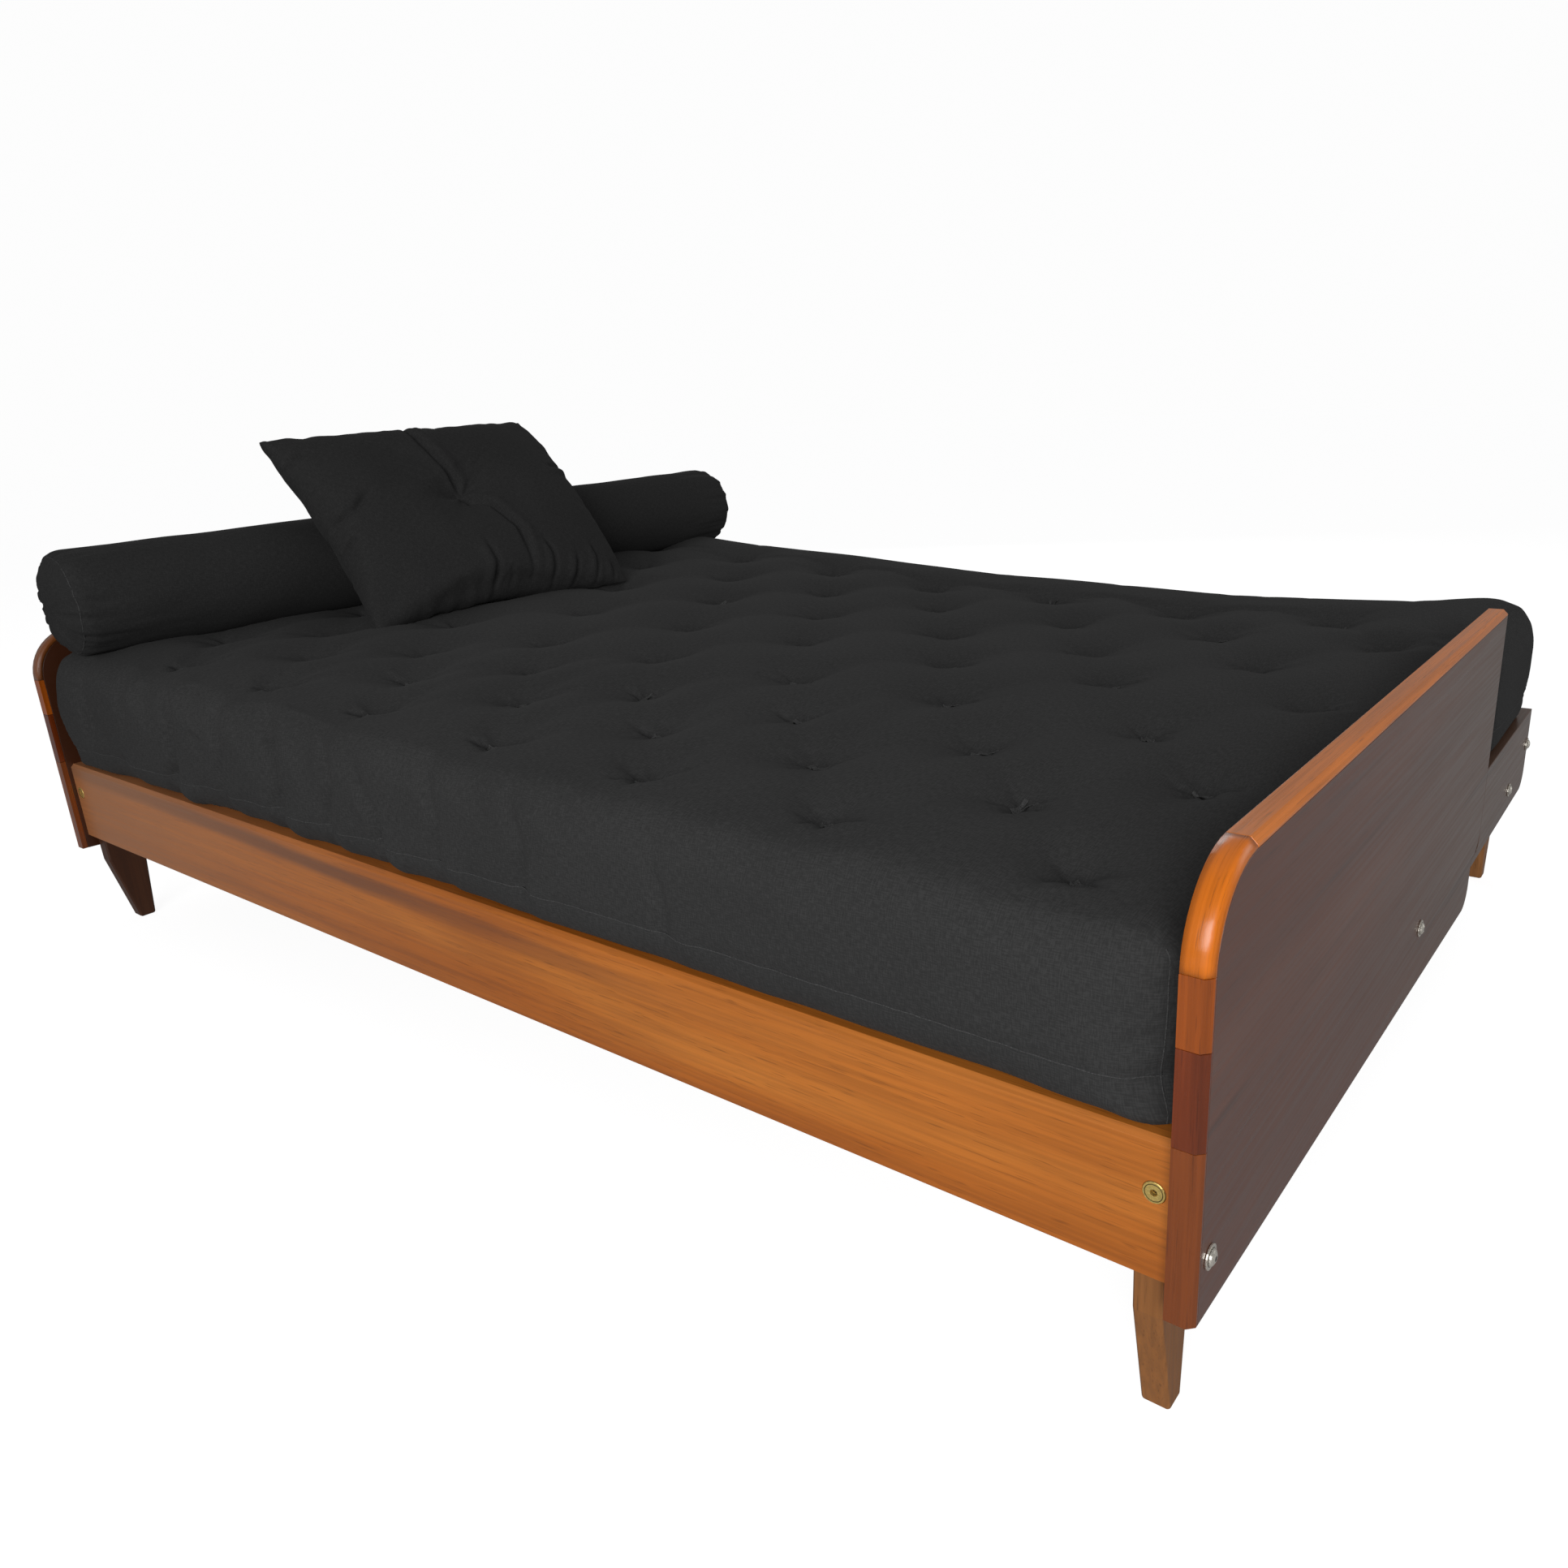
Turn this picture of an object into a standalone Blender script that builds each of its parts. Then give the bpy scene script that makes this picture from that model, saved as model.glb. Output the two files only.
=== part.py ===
"""Wooden daybed with a slatted base, two end panels, a mattress, a bolster and a cushion.

Metres, +Z up. The floor is Z = 0. X runs along the front rail, from the left end panel to
the right one. The pieces' own Y runs from the front rail's face to the rear rail's face, and
one empty carries them all, so that the origin is on the floor under the middle of the bed.
"""

import math

import bmesh
import bpy
from mathutils import Matrix, Vector

# ---- driving dimensions ----
INNER_LENGTH = 1.940  # between the end panels
BED_DEPTH = 1.420  # from the front rail's face to the rear rail's face
RAIL_BOTTOM = 0.160  # height of the rails' undersides, so the height of the legs
RAIL_HEIGHT = 0.126
RAIL_THICKNESS = 0.025
RAIL_CHAMFER = 0.005  # on the front rail's upper edge

PANEL_THICKNESS = 0.024
PANEL_RISE = 0.224  # from the rails' top to the end panels' top
PANEL_FRONT_DROP = 0.022  # from the rails' underside to the end panels' lower front corner
PANEL_REAR_DROP = 0.060  # and to their lower rear corner
PANEL_PROUD = 0.0136  # how far an end panel stands in front of the front rail
PANEL_REAR = 1.045  # where the high part of an end panel ends
PANEL_TOE_REAR = 1.000  # where its low part ends
TOE_RISE = 0.008  # from the rails' underside to the step in a panel's rear edge
TOP_CORNER_RADIUS = 0.078
TOE_CORNER_RADIUS = 0.030
PANEL_CORNER_RADIUS = 0.030

EDGING_THICKNESS = 0.008
EDGING_CHAMFER = 0.006
LOWER_EDGING_RISE = 0.0065  # from the rails' top to the butt joints in the front edging
UPPER_EDGING_RISE = 0.088

EXTENSION_DROP = 0.0055  # from the rails' underside to the extension boards' underside
EXTENSION_REAR_RADIUS = 0.030
EXTENSION_NOTCH_RADIUS = 0.014

LEG_THICKNESS = 0.0255
LEG_SIDE_GAP = 0.0095  # from a leg to the end panel
LEG_FRONT = 0.0085  # from the front rail's face to a leg's upper front corner
LEG_TOP_WIDTH = 0.062
LEG_FOOT_FRONT = 0.036
LEG_FOOT_WIDTH = 0.024
LEG_KINK_DROP = 0.045  # below the rail, where a leg's outer edge starts to slant
LEG_KINK_SET = 0.001  # and how far that point is set back
LEG_BEVEL = 0.002
CENTRE_LEG_SIZE = 0.050

CLEAT_THICKNESS = 0.025
CLEAT_HEIGHT = 0.060
BLOCK_SIZE = 0.050
MIDDLE_RAIL_Y = 0.684
MIDDLE_RAIL_RISE = 0.0125  # from the rails' underside to the middle rail's underside

SLAT_COUNT = 14
SLAT_WIDTH = 0.065
SLAT_THICKNESS = 0.018
SLAT_END_MARGIN = 0.045  # from the end panels to the outermost slats
LEDGER_THICKNESS = 0.022
LEDGER_HEIGHT = 0.030
STOP_THICKNESS = 0.018
STOP_HEIGHT = 0.024
BOARD_BEVEL = 0.002  # on the slats and the mattress stop

BOLT_SHANK_RADIUS = 0.0035
BOLT_HOLE_RADIUS = 0.0039
HOLE_OVERRUN = 0.010  # how far a cutter stands out of the face it cuts
BOLT_HEAD_RADIUS = 0.0075
BOLT_HEAD_HEIGHT = 0.0035
WASHER_RADIUS = 0.0105
WASHER_THICKNESS = 0.0015
BOLT_REACH = 0.055  # from the end panel's inner face to the bolt's tip
EXTENSION_BOLT_REACH = 0.020
LOW_BOLT_RISE = 0.030  # from the rails' underside to the lower bolts
REAR_BOLT_RISE = 0.069
EXTENSION_BOLT_FROM_REAR = 0.149

CAM_RADIUS = 0.0095
CAM_DEPTH = 0.012
CAM_PROUD = 0.0008
CAM_FROM_END = 0.0165
CAM_DROP = 0.048  # from the front rail's top
CAM_SOCKET_RADIUS = 0.0027
CAM_SOCKET_DEPTH = 0.003
CAM_BEVEL = 0.0006

MATTRESS_SIDE_GAP = 0.010
MATTRESS_FRONT = 0.010
MATTRESS_STOP_GAP = 0.008
MATTRESS_THICKNESS = 0.168  # at its front right corner
MATTRESS_LEFT_RISE = 0.018  # how much thicker the stuffing lies at the front left corner
MATTRESS_REAR_LEFT_RISE = 0.045
MATTRESS_REAR_RIGHT_RISE = 0.010
MATTRESS_EDGE_RADIUS = 0.030

BOLSTER_RADIUS = 0.084
BOLSTER_FRONT = 0.008
BOLSTER_REAR_MARGIN = 0.020  # from the bolster's rear end to the rear rail's face
BOLSTER_SIDE_GAP = 0.004  # from its front end to the left end panel
BOLSTER_YAW = math.radians(3.6)  # its rear end lies further from the panel
BOLSTER_EDGE_RADIUS = 0.020

CUSHION_WIDTH = 0.515
CUSHION_HEIGHT = 0.410
CUSHION_THICKNESS = 0.130
CUSHION_RIM = 0.016
CUSHION_RIM_WIDTH = 0.090
CUSHION_TILT = math.radians(46)
CUSHION_CENTRE_Y = 0.636

FIT = 0.0003  # between wooden faces that meet
SOFT_FIT = 0.0006  # under and beside soft pieces

# ---- worked-out places ----
PANEL_X = INNER_LENGTH / 2
RAIL_TOP = RAIL_BOTTOM + RAIL_HEIGHT
PANEL_TOP = RAIL_TOP + PANEL_RISE
PANEL_FRONT_BOTTOM = RAIL_BOTTOM - PANEL_FRONT_DROP
PANEL_REAR_BOTTOM = RAIL_BOTTOM - PANEL_REAR_DROP
TOE_TOP = RAIL_BOTTOM + TOE_RISE
LOWER_EDGING_JOINT = RAIL_TOP + LOWER_EDGING_RISE
UPPER_EDGING_JOINT = RAIL_TOP + UPPER_EDGING_RISE
EXTENSION_BOTTOM = RAIL_BOTTOM - EXTENSION_DROP
PANEL_FRONT = -PANEL_PROUD
EDGING_BACK = PANEL_FRONT + EDGING_THICKNESS
CORNER_Z = PANEL_TOP - TOP_CORNER_RADIUS
CORNER_Y = PANEL_FRONT + TOP_CORNER_RADIUS
REAR_RAIL_Y = BED_DEPTH - RAIL_THICKNESS
SLAT_TOP = RAIL_TOP - FIT
SLAT_BOTTOM = SLAT_TOP - SLAT_THICKNESS
LEDGER_TOP = SLAT_BOTTOM - FIT
MIDDLE_RAIL_BOTTOM = RAIL_BOTTOM + MIDDLE_RAIL_RISE
MATTRESS_BOTTOM = RAIL_TOP + SOFT_FIT
MATTRESS_TOP = MATTRESS_BOTTOM + MATTRESS_THICKNESS
MATTRESS_X = PANEL_X - MATTRESS_SIDE_GAP
MATTRESS_REAR = BED_DEPTH - STOP_THICKNESS - MATTRESS_STOP_GAP
BOLSTER_LENGTH = (BED_DEPTH - BOLSTER_REAR_MARGIN - BOLSTER_FRONT) / math.cos(BOLSTER_YAW)
FRONT_BOLT_Y = RAIL_THICKNESS / 2
REAR_BOLT_Y = BED_DEPTH - RAIL_THICKNESS / 2
LOW_BOLT_Z = RAIL_BOTTOM + LOW_BOLT_RISE
CAM_Z = RAIL_TOP - CAM_DROP

COLOURS = {
    "rail wood": ((0.52, 0.23, 0.075), 0.42, 0.0),
    "edging wood": ((0.36, 0.11, 0.03), 0.28, 0.0),
    "panel veneer": ((0.11, 0.085, 0.075), 0.36, 0.0),
    "leg wood": ((0.20, 0.095, 0.04), 0.48, 0.0),
    "slat wood": ((0.55, 0.36, 0.18), 0.60, 0.0),
    "nickel": ((0.70, 0.68, 0.62), 0.28, 1.0),
    "brass": ((0.78, 0.56, 0.20), 0.30, 1.0),
    "black cotton": ((0.022, 0.022, 0.024), 0.92, 0.0),
}


def clear_scene():
    for item in list(bpy.data.objects):
        bpy.data.objects.remove(item, do_unlink=True)


def finish_material(name):
    """One Principled material for each finish, made when it is first asked for."""
    material = bpy.data.materials.get(name)
    if material is None:
        colour, roughness, metallic = COLOURS[name]
        material = bpy.data.materials.new(name)
        material.use_nodes = True
        shader = material.node_tree.nodes["Principled BSDF"]
        shader.inputs["Base Color"].default_value = (*colour, 1.0)
        shader.inputs["Roughness"].default_value = roughness
        shader.inputs["Metallic"].default_value = metallic
        material.diffuse_color = (*colour, 1.0)
    return material


def add_origin():
    """The empty that carries every piece, so that the bed stands centred on the origin."""
    origin = bpy.data.objects.new("daybed_origin", None)
    origin.location = (0, -(PANEL_FRONT + BED_DEPTH) / 2, 0)
    bpy.context.scene.collection.objects.link(origin)


def add_object(name, mesh, finish, location=(0, 0, 0)):
    piece = bpy.data.objects.new(name, mesh)
    bpy.context.scene.collection.objects.link(piece)
    piece.parent = bpy.data.objects["daybed_origin"]
    piece.location = location
    mesh.materials.append(finish_material(finish))
    return piece


def box(name, low, high, finish, bevel=0.0):
    """A board or block between two opposite corners, with its origin at its middle."""
    size = Vector(high) - Vector(low)
    shape = bmesh.new()
    bmesh.ops.create_cube(shape, size=1.0, matrix=Matrix.Diagonal((*size, 1.0)))
    mesh = bpy.data.meshes.new(name)
    shape.to_mesh(mesh)
    shape.free()
    piece = add_object(name, mesh, finish, (Vector(low) + Vector(high)) / 2)
    if bevel:
        add_bevel(piece, bevel)
    return piece


def add_bevel(piece, width, segments=1):
    edge = piece.modifiers.new("edge", "BEVEL")
    edge.width = width
    edge.segments = segments
    edge.limit_method = "ANGLE"
    edge.angle_limit = math.radians(40)


def slab(name, outline, low_x, high_x, finish):
    """A board cut to an outline of (Y, Z) points and extruded from low_x to high_x."""
    shape = bmesh.new()
    corners = [shape.verts.new((low_x, y, z)) for y, z in outline]
    face = shape.faces.new(corners)
    grown = bmesh.ops.extrude_face_region(shape, geom=[face])
    moved = [item for item in grown["geom"] if isinstance(item, bmesh.types.BMVert)]
    bmesh.ops.translate(shape, verts=moved, vec=(high_x - low_x, 0, 0))
    bmesh.ops.recalc_face_normals(shape, faces=shape.faces)
    mesh = bpy.data.meshes.new(name)
    shape.to_mesh(mesh)
    shape.free()
    return add_object(name, mesh, finish)


def arc(centre, radius, start, end, steps):
    """Points of a circular arc in the Y-Z plane; angles in degrees from +Y towards +Z."""
    angles = [math.radians(start + (end - start) * i / steps) for i in range(steps + 1)]
    return [
        (centre[0] + radius * math.cos(a), centre[1] + radius * math.sin(a)) for a in angles
    ]


def mirrored(outline):
    """The outline's points in reverse, for the other end of the bed's depth."""
    return [(BED_DEPTH - y, z) for y, z in reversed(outline)]


def turned(name, profile, finish, segments=20):
    """A closed round solid about X, from (x, radius) points whose ends lie on the axis."""
    shape = bmesh.new()
    points = [shape.verts.new((x, radius, 0)) for x, radius in profile]
    edges = [shape.edges.new(pair) for pair in zip(points, points[1:])]
    bmesh.ops.spin(
        shape,
        geom=points + edges,
        axis=(1, 0, 0),
        cent=(0, 0, 0),
        steps=segments,
        angle=2 * math.pi,
        use_merge=True,
    )
    bmesh.ops.remove_doubles(shape, verts=shape.verts, dist=0.00001)
    bmesh.ops.recalc_face_normals(shape, faces=shape.faces)
    mesh = bpy.data.meshes.new(name)
    shape.to_mesh(mesh)
    shape.free()
    mesh.shade_smooth()
    mesh.set_sharp_from_angle(angle=math.radians(35))
    return add_object(name, mesh, finish)


def cut(piece, cutter):
    cutter.hide_render = True
    cutter.display_type = "WIRE"
    difference = piece.modifiers.new("cut " + cutter.name, "BOOLEAN")
    difference.operation = "DIFFERENCE"
    difference.solver = "EXACT"
    difference.object = cutter


def bore(name, radius, low_x, high_x, y, z):
    """A round cutter along X."""
    cutter = turned(
        name, [(low_x, 0), (low_x, radius), (high_x, radius), (high_x, 0)], "nickel", 16
    )
    cutter.location = (0, y, z)
    return cutter


# ---- frame ----
def panel_outline():
    """The veneered core of an end panel, inside its edging."""
    front = EDGING_BACK + FIT
    top = PANEL_TOP - EDGING_THICKNESS - FIT
    corner = TOP_CORNER_RADIUS - EDGING_THICKNESS - FIT
    rear_low = (PANEL_TOE_REAR - PANEL_CORNER_RADIUS, PANEL_REAR_BOTTOM + PANEL_CORNER_RADIUS)
    toe = (PANEL_REAR - TOE_CORNER_RADIUS, TOE_TOP + TOE_CORNER_RADIUS)
    return [
        (front, PANEL_FRONT_BOTTOM),
        *arc(rear_low, PANEL_CORNER_RADIUS, -90, 0, 6),
        (PANEL_TOE_REAR, TOE_TOP),
        *arc(toe, TOE_CORNER_RADIUS, -90, 0, 6),
        (PANEL_REAR, top),
        *arc((CORNER_Y, CORNER_Z), corner, 90, 180, 12),
    ]


def extension_outline():
    """The low board behind an end panel, with its tongue under the panel's round toe."""
    front = PANEL_REAR + FIT
    tongue_top = TOE_TOP - FIT
    notch = (front - EXTENSION_NOTCH_RADIUS, tongue_top + EXTENSION_NOTCH_RADIUS)
    rear_low = (BED_DEPTH - EXTENSION_REAR_RADIUS, EXTENSION_BOTTOM + EXTENSION_REAR_RADIUS)
    return [
        (PANEL_TOE_REAR + FIT, EXTENSION_BOTTOM),
        *arc(rear_low, EXTENSION_REAR_RADIUS, -90, 0, 6),
        (BED_DEPTH, RAIL_TOP),
        (front, RAIL_TOP),
        *reversed(arc(notch, EXTENSION_NOTCH_RADIUS, -90, 0, 5)),
        (PANEL_TOE_REAR + FIT, tongue_top),
    ]


def edging_profile(side):
    """An edging strip's section as (depth from its outer face, X) points."""
    inner = side * PANEL_X
    outer = side * (PANEL_X + PANEL_THICKNESS)
    return [
        (0, inner),
        (0, outer - side * EDGING_CHAMFER),
        (EDGING_CHAMFER, outer),
        (EDGING_THICKNESS, outer),
        (EDGING_THICKNESS, inner),
    ]


def sweep(name, rings, finish):
    """A closed solid through rings of points that have the same count."""
    shape = bmesh.new()
    loops = [[shape.verts.new(point) for point in ring] for ring in rings]
    for ring, following in zip(loops, loops[1:]):
        for i in range(len(ring)):
            j = (i + 1) % len(ring)
            shape.faces.new((ring[i], ring[j], following[j], following[i]))
    shape.faces.new(loops[0])
    shape.faces.new(list(reversed(loops[-1])))
    bmesh.ops.recalc_face_normals(shape, faces=shape.faces)
    mesh = bpy.data.meshes.new(name)
    shape.to_mesh(mesh)
    shape.free()
    return add_object(name, mesh, finish)


def front_edging(name, side, low, high):
    profile = edging_profile(side)
    rings = [[(x, PANEL_FRONT + depth, z) for depth, x in profile] for z in (low, high)]
    return sweep(name, rings, "edging wood")


def top_edging(name, side):
    profile = edging_profile(side)
    rings = [
        [(x, y, PANEL_TOP - depth) for depth, x in profile] for y in (CORNER_Y + FIT, PANEL_REAR)
    ]
    return sweep(name, rings, "edging wood")


def corner_edging(name, side):
    profile = edging_profile(side)
    steps = 12
    rings = []
    for i in range(steps + 1):
        angle = math.radians(180 - 90 * i / steps)
        rings.append(
            [
                (
                    x,
                    CORNER_Y + (TOP_CORNER_RADIUS - depth) * math.cos(angle),
                    CORNER_Z + (TOP_CORNER_RADIUS - depth) * math.sin(angle),
                )
                for depth, x in profile
            ]
        )
    return sweep(name, rings, "edging wood")


def bolt_places():
    """Each bolt's name, its (Y, Z) on the outer face, and how far it reaches inwards."""
    extension_y = BED_DEPTH - EXTENSION_BOLT_FROM_REAR
    return {
        "front_bolt": (FRONT_BOLT_Y, LOW_BOLT_Z, BOLT_REACH),
        "middle_bolt": (MIDDLE_RAIL_Y, LOW_BOLT_Z, BOLT_REACH),
        "extension_bolt": (extension_y, LOW_BOLT_Z, EXTENSION_BOLT_REACH),
        "rear_bolt": (REAR_BOLT_Y, RAIL_BOTTOM + REAR_BOLT_RISE, BOLT_REACH),
    }


def build_bolt(name, side, y, z, reach):
    """A round-headed bolt with its washer, from the outer face into the frame."""
    outer = PANEL_X + PANEL_THICKNESS + FIT
    washer = outer + WASHER_THICKNESS
    tip = PANEL_X - reach
    dome = washer + BOLT_HEAD_HEIGHT
    profile = [
        (tip, 0),
        (tip, BOLT_SHANK_RADIUS),
        (outer, BOLT_SHANK_RADIUS),
        (outer, WASHER_RADIUS),
        (washer, WASHER_RADIUS),
        (washer, BOLT_HEAD_RADIUS),
        (washer + BOLT_HEAD_HEIGHT * 0.6, BOLT_HEAD_RADIUS * 0.85),
        (dome, BOLT_HEAD_RADIUS * 0.45),
        (dome, 0),
    ]
    bolt = turned(name, [(side * x, radius) for x, radius in profile], "nickel", 16)
    bolt.location = (0, y, z)
    return bolt


def build_end(side):
    """One end of the bed: panel, extension, edging, cleat and bolts. side is -1 or 1."""
    word = "left" if side < 0 else "right"
    low_x, high_x = sorted((side * PANEL_X, side * (PANEL_X + PANEL_THICKNESS)))
    panel = slab(f"{word}_end_panel", panel_outline(), low_x, high_x, "panel veneer")
    extension = slab(
        f"{word}_extension_board", extension_outline(), low_x, high_x, "panel veneer"
    )
    front_edging(f"{word}_edging_lower", side, PANEL_FRONT_BOTTOM, LOWER_EDGING_JOINT - FIT)
    front_edging(f"{word}_edging_middle", side, LOWER_EDGING_JOINT, UPPER_EDGING_JOINT - FIT)
    front_edging(f"{word}_edging_upper", side, UPPER_EDGING_JOINT, CORNER_Z - FIT)
    corner_edging(f"{word}_edging_corner", side)
    top_edging(f"{word}_edging_top", side)

    cleat_x = sorted((side * (PANEL_X - FIT), side * (PANEL_X - FIT - CLEAT_THICKNESS)))
    cleat = box(
        f"{word}_side_cleat",
        (cleat_x[0], RAIL_THICKNESS + FIT, RAIL_BOTTOM),
        (cleat_x[1], REAR_RAIL_Y - FIT, RAIL_BOTTOM + CLEAT_HEIGHT),
        "slat wood",
    )
    mouth = PANEL_X + PANEL_THICKNESS + HOLE_OVERRUN
    for name, (y, z, reach) in bolt_places().items():
        build_bolt(f"{word}_{name}", side, y, z, reach)
        hole_x = sorted((side * (PANEL_X - reach - FIT), side * mouth))
        hole = bore(f"{word}_{name}_hole", BOLT_HOLE_RADIUS, hole_x[0], hole_x[1], y, z)
        cut(extension if y > PANEL_REAR else panel, hole)
        if name in ("middle_bolt", "extension_bolt"):
            cut(cleat, hole)


def build_rails():
    """The front, middle and rear rails, the slats' ledgers and the mattress stop."""
    end = PANEL_X - FIT
    front = slab(
        "front_rail",
        [
            (0, RAIL_BOTTOM),
            (RAIL_THICKNESS, RAIL_BOTTOM),
            (RAIL_THICKNESS, RAIL_TOP),
            (RAIL_CHAMFER, RAIL_TOP),
            (0, RAIL_TOP - RAIL_CHAMFER),
        ],
        -end,
        end,
        "rail wood",
    )
    rear = box(
        "rear_rail", (-end, REAR_RAIL_Y, RAIL_BOTTOM), (end, BED_DEPTH, RAIL_TOP), "rail wood"
    )
    inner_end = PANEL_X - CLEAT_THICKNESS - 2 * FIT
    middle = box(
        "middle_rail",
        (-inner_end, MIDDLE_RAIL_Y - RAIL_THICKNESS / 2, MIDDLE_RAIL_BOTTOM),
        (inner_end, MIDDLE_RAIL_Y + RAIL_THICKNESS / 2, LEDGER_TOP),
        "slat wood",
    )
    for side, word in ((-1, "left"), (1, "right")):
        for rail, name in ((front, "front_bolt"), (middle, "middle_bolt"), (rear, "rear_bolt")):
            cut(rail, bpy.data.objects[f"{word}_{name}_hole"])
        cut(front, cam_pocket(f"{word}_cam_pocket", side))
    for name, low_y in (
        ("front_ledger", RAIL_THICKNESS + FIT),
        ("rear_ledger", REAR_RAIL_Y - FIT - LEDGER_THICKNESS),
    ):
        box(
            name,
            (-inner_end, low_y, LEDGER_TOP - LEDGER_HEIGHT),
            (inner_end, low_y + LEDGER_THICKNESS, LEDGER_TOP),
            "slat wood",
        )
    box(
        "mattress_stop",
        (-end, BED_DEPTH - STOP_THICKNESS, RAIL_TOP + FIT),
        (end, BED_DEPTH, RAIL_TOP + FIT + STOP_HEIGHT),
        "rail wood",
        BOARD_BEVEL,
    )


def cam_pocket(name, side):
    cutter = turned(
        name,
        [
            (-HOLE_OVERRUN, 0),
            (-HOLE_OVERRUN, CAM_RADIUS + FIT),
            (CAM_DEPTH + FIT, CAM_RADIUS + FIT),
            (CAM_DEPTH + FIT, 0),
        ],
        "brass",
        24,
    )
    cutter.rotation_euler = (0, 0, math.radians(90))
    cutter.location = (side * (PANEL_X - CAM_FROM_END), 0, CAM_Z)
    return cutter


def build_cams():
    """The round cam locks that draw the front rail to the end panels."""
    for side, word in ((-1, "left"), (1, "right")):
        cam = turned(
            f"{word}_cam_lock",
            [
                (CAM_SOCKET_DEPTH, 0),
                (CAM_SOCKET_DEPTH, CAM_SOCKET_RADIUS),
                (-CAM_PROUD, CAM_SOCKET_RADIUS + CAM_BEVEL / 2),
                (-CAM_PROUD, CAM_RADIUS - CAM_BEVEL),
                (-CAM_PROUD + CAM_BEVEL, CAM_RADIUS),
                (CAM_DEPTH, CAM_RADIUS),
                (CAM_DEPTH, 0),
            ],
            "brass",
            24,
        )
        cam.rotation_euler = (0, 0, math.radians(90))
        cam.location = (side * (PANEL_X - CAM_FROM_END), 0, CAM_Z)


def build_slats():
    first = -PANEL_X + SLAT_END_MARGIN + SLAT_WIDTH / 2
    pitch = -2 * first / (SLAT_COUNT - 1)
    for number in range(SLAT_COUNT):
        middle = first + number * pitch
        box(
            f"slat_{number + 1:02d}",
            (middle - SLAT_WIDTH / 2, RAIL_THICKNESS + 2 * FIT, SLAT_BOTTOM),
            (middle + SLAT_WIDTH / 2, REAR_RAIL_Y - 2 * FIT, SLAT_TOP),
            "slat wood",
            BOARD_BEVEL,
        )


def leg_outline():
    top = RAIL_BOTTOM - FIT
    return [
        (LEG_FRONT, top),
        (LEG_FRONT + LEG_KINK_SET, RAIL_BOTTOM - LEG_KINK_DROP),
        (LEG_FOOT_FRONT, 0),
        (LEG_FOOT_FRONT + LEG_FOOT_WIDTH, 0),
        (LEG_FRONT + LEG_TOP_WIDTH, top),
    ]


def build_legs():
    """Four tapered corner legs with the blocks that hold them, and the middle rail's leg."""
    block_top = LEDGER_TOP - LEDGER_HEIGHT - FIT
    block_x = PANEL_X - CLEAT_THICKNESS - 2 * FIT
    outer = PANEL_X - LEG_SIDE_GAP
    for side, word in ((-1, "left"), (1, "right")):
        low_x, high_x = sorted((side * outer, side * (outer - LEG_THICKNESS)))
        near, far = sorted((side * block_x, side * (block_x - BLOCK_SIZE)))
        block_y = RAIL_THICKNESS + FIT
        for end, outline, low_y in (
            ("front", leg_outline(), block_y),
            ("rear", mirrored(leg_outline()), BED_DEPTH - block_y - BLOCK_SIZE),
        ):
            leg = slab(f"{end}_{word}_leg", outline, low_x, high_x, "leg wood")
            add_bevel(leg, LEG_BEVEL)
            box(
                f"{end}_{word}_corner_block",
                (near, low_y, RAIL_BOTTOM),
                (far, low_y + BLOCK_SIZE, block_top),
                "slat wood",
            )
    half = CENTRE_LEG_SIZE / 2
    box(
        "centre_leg",
        (-half, MIDDLE_RAIL_Y - half, 0),
        (half, MIDDLE_RAIL_Y + half, MIDDLE_RAIL_BOTTOM - FIT),
        "leg wood",
        LEG_BEVEL,
    )


# ---- soft goods ----
def mattress_corners():
    """The mattress's upper corners: front left, front right, rear right and rear left."""
    return [
        Vector((-MATTRESS_X, MATTRESS_FRONT, MATTRESS_TOP + MATTRESS_LEFT_RISE)),
        Vector((MATTRESS_X, MATTRESS_FRONT, MATTRESS_TOP)),
        Vector((MATTRESS_X, MATTRESS_REAR, MATTRESS_TOP + MATTRESS_REAR_RIGHT_RISE)),
        Vector((-MATTRESS_X, MATTRESS_REAR, MATTRESS_TOP + MATTRESS_REAR_LEFT_RISE)),
    ]


def build_mattress():
    """A thick pad whose top is two flat faces that meet on the front right to rear left line."""
    shape = bmesh.new()
    front_left, front_right, rear_right, rear_left = (
        shape.verts.new(point) for point in mattress_corners()
    )
    ring = [front_left, front_right, rear_right, rear_left]
    low = [shape.verts.new((v.co.x, v.co.y, MATTRESS_BOTTOM)) for v in ring]
    shape.faces.new((front_left, front_right, rear_left))
    shape.faces.new((front_right, rear_right, rear_left))
    shape.faces.new(list(reversed(low)))
    for i in range(4):
        j = (i + 1) % 4
        shape.faces.new((low[i], low[j], ring[j], ring[i]))
    bmesh.ops.recalc_face_normals(shape, faces=shape.faces)
    mesh = bpy.data.meshes.new("mattress")
    shape.to_mesh(mesh)
    shape.free()
    add_bevel(add_object("mattress", mesh, "black cotton"), MATTRESS_EDGE_RADIUS, 3)


def bolster_place():
    """The front end of the bolster's axis, and unit vectors along it, away from the left
    panel and up from the part of the mattress's top that carries the bolster."""
    front_left, front_right, _, rear_left = mattress_corners()
    rise = (front_right - front_left).cross(rear_left - front_left).normalized()
    heading = Vector((math.sin(BOLSTER_YAW), math.cos(BOLSTER_YAW), 0))
    along = (heading - rise * heading.dot(rise)).normalized()
    aside = along.cross(rise)
    below = Vector((-PANEL_X + BOLSTER_SIDE_GAP + BOLSTER_RADIUS, BOLSTER_FRONT, 0))
    below.z = front_left.z - rise.dot(below - front_left.xy.to_3d()) / rise.z
    return below + rise * (BOLSTER_RADIUS + SOFT_FIT), along, aside, rise


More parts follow.
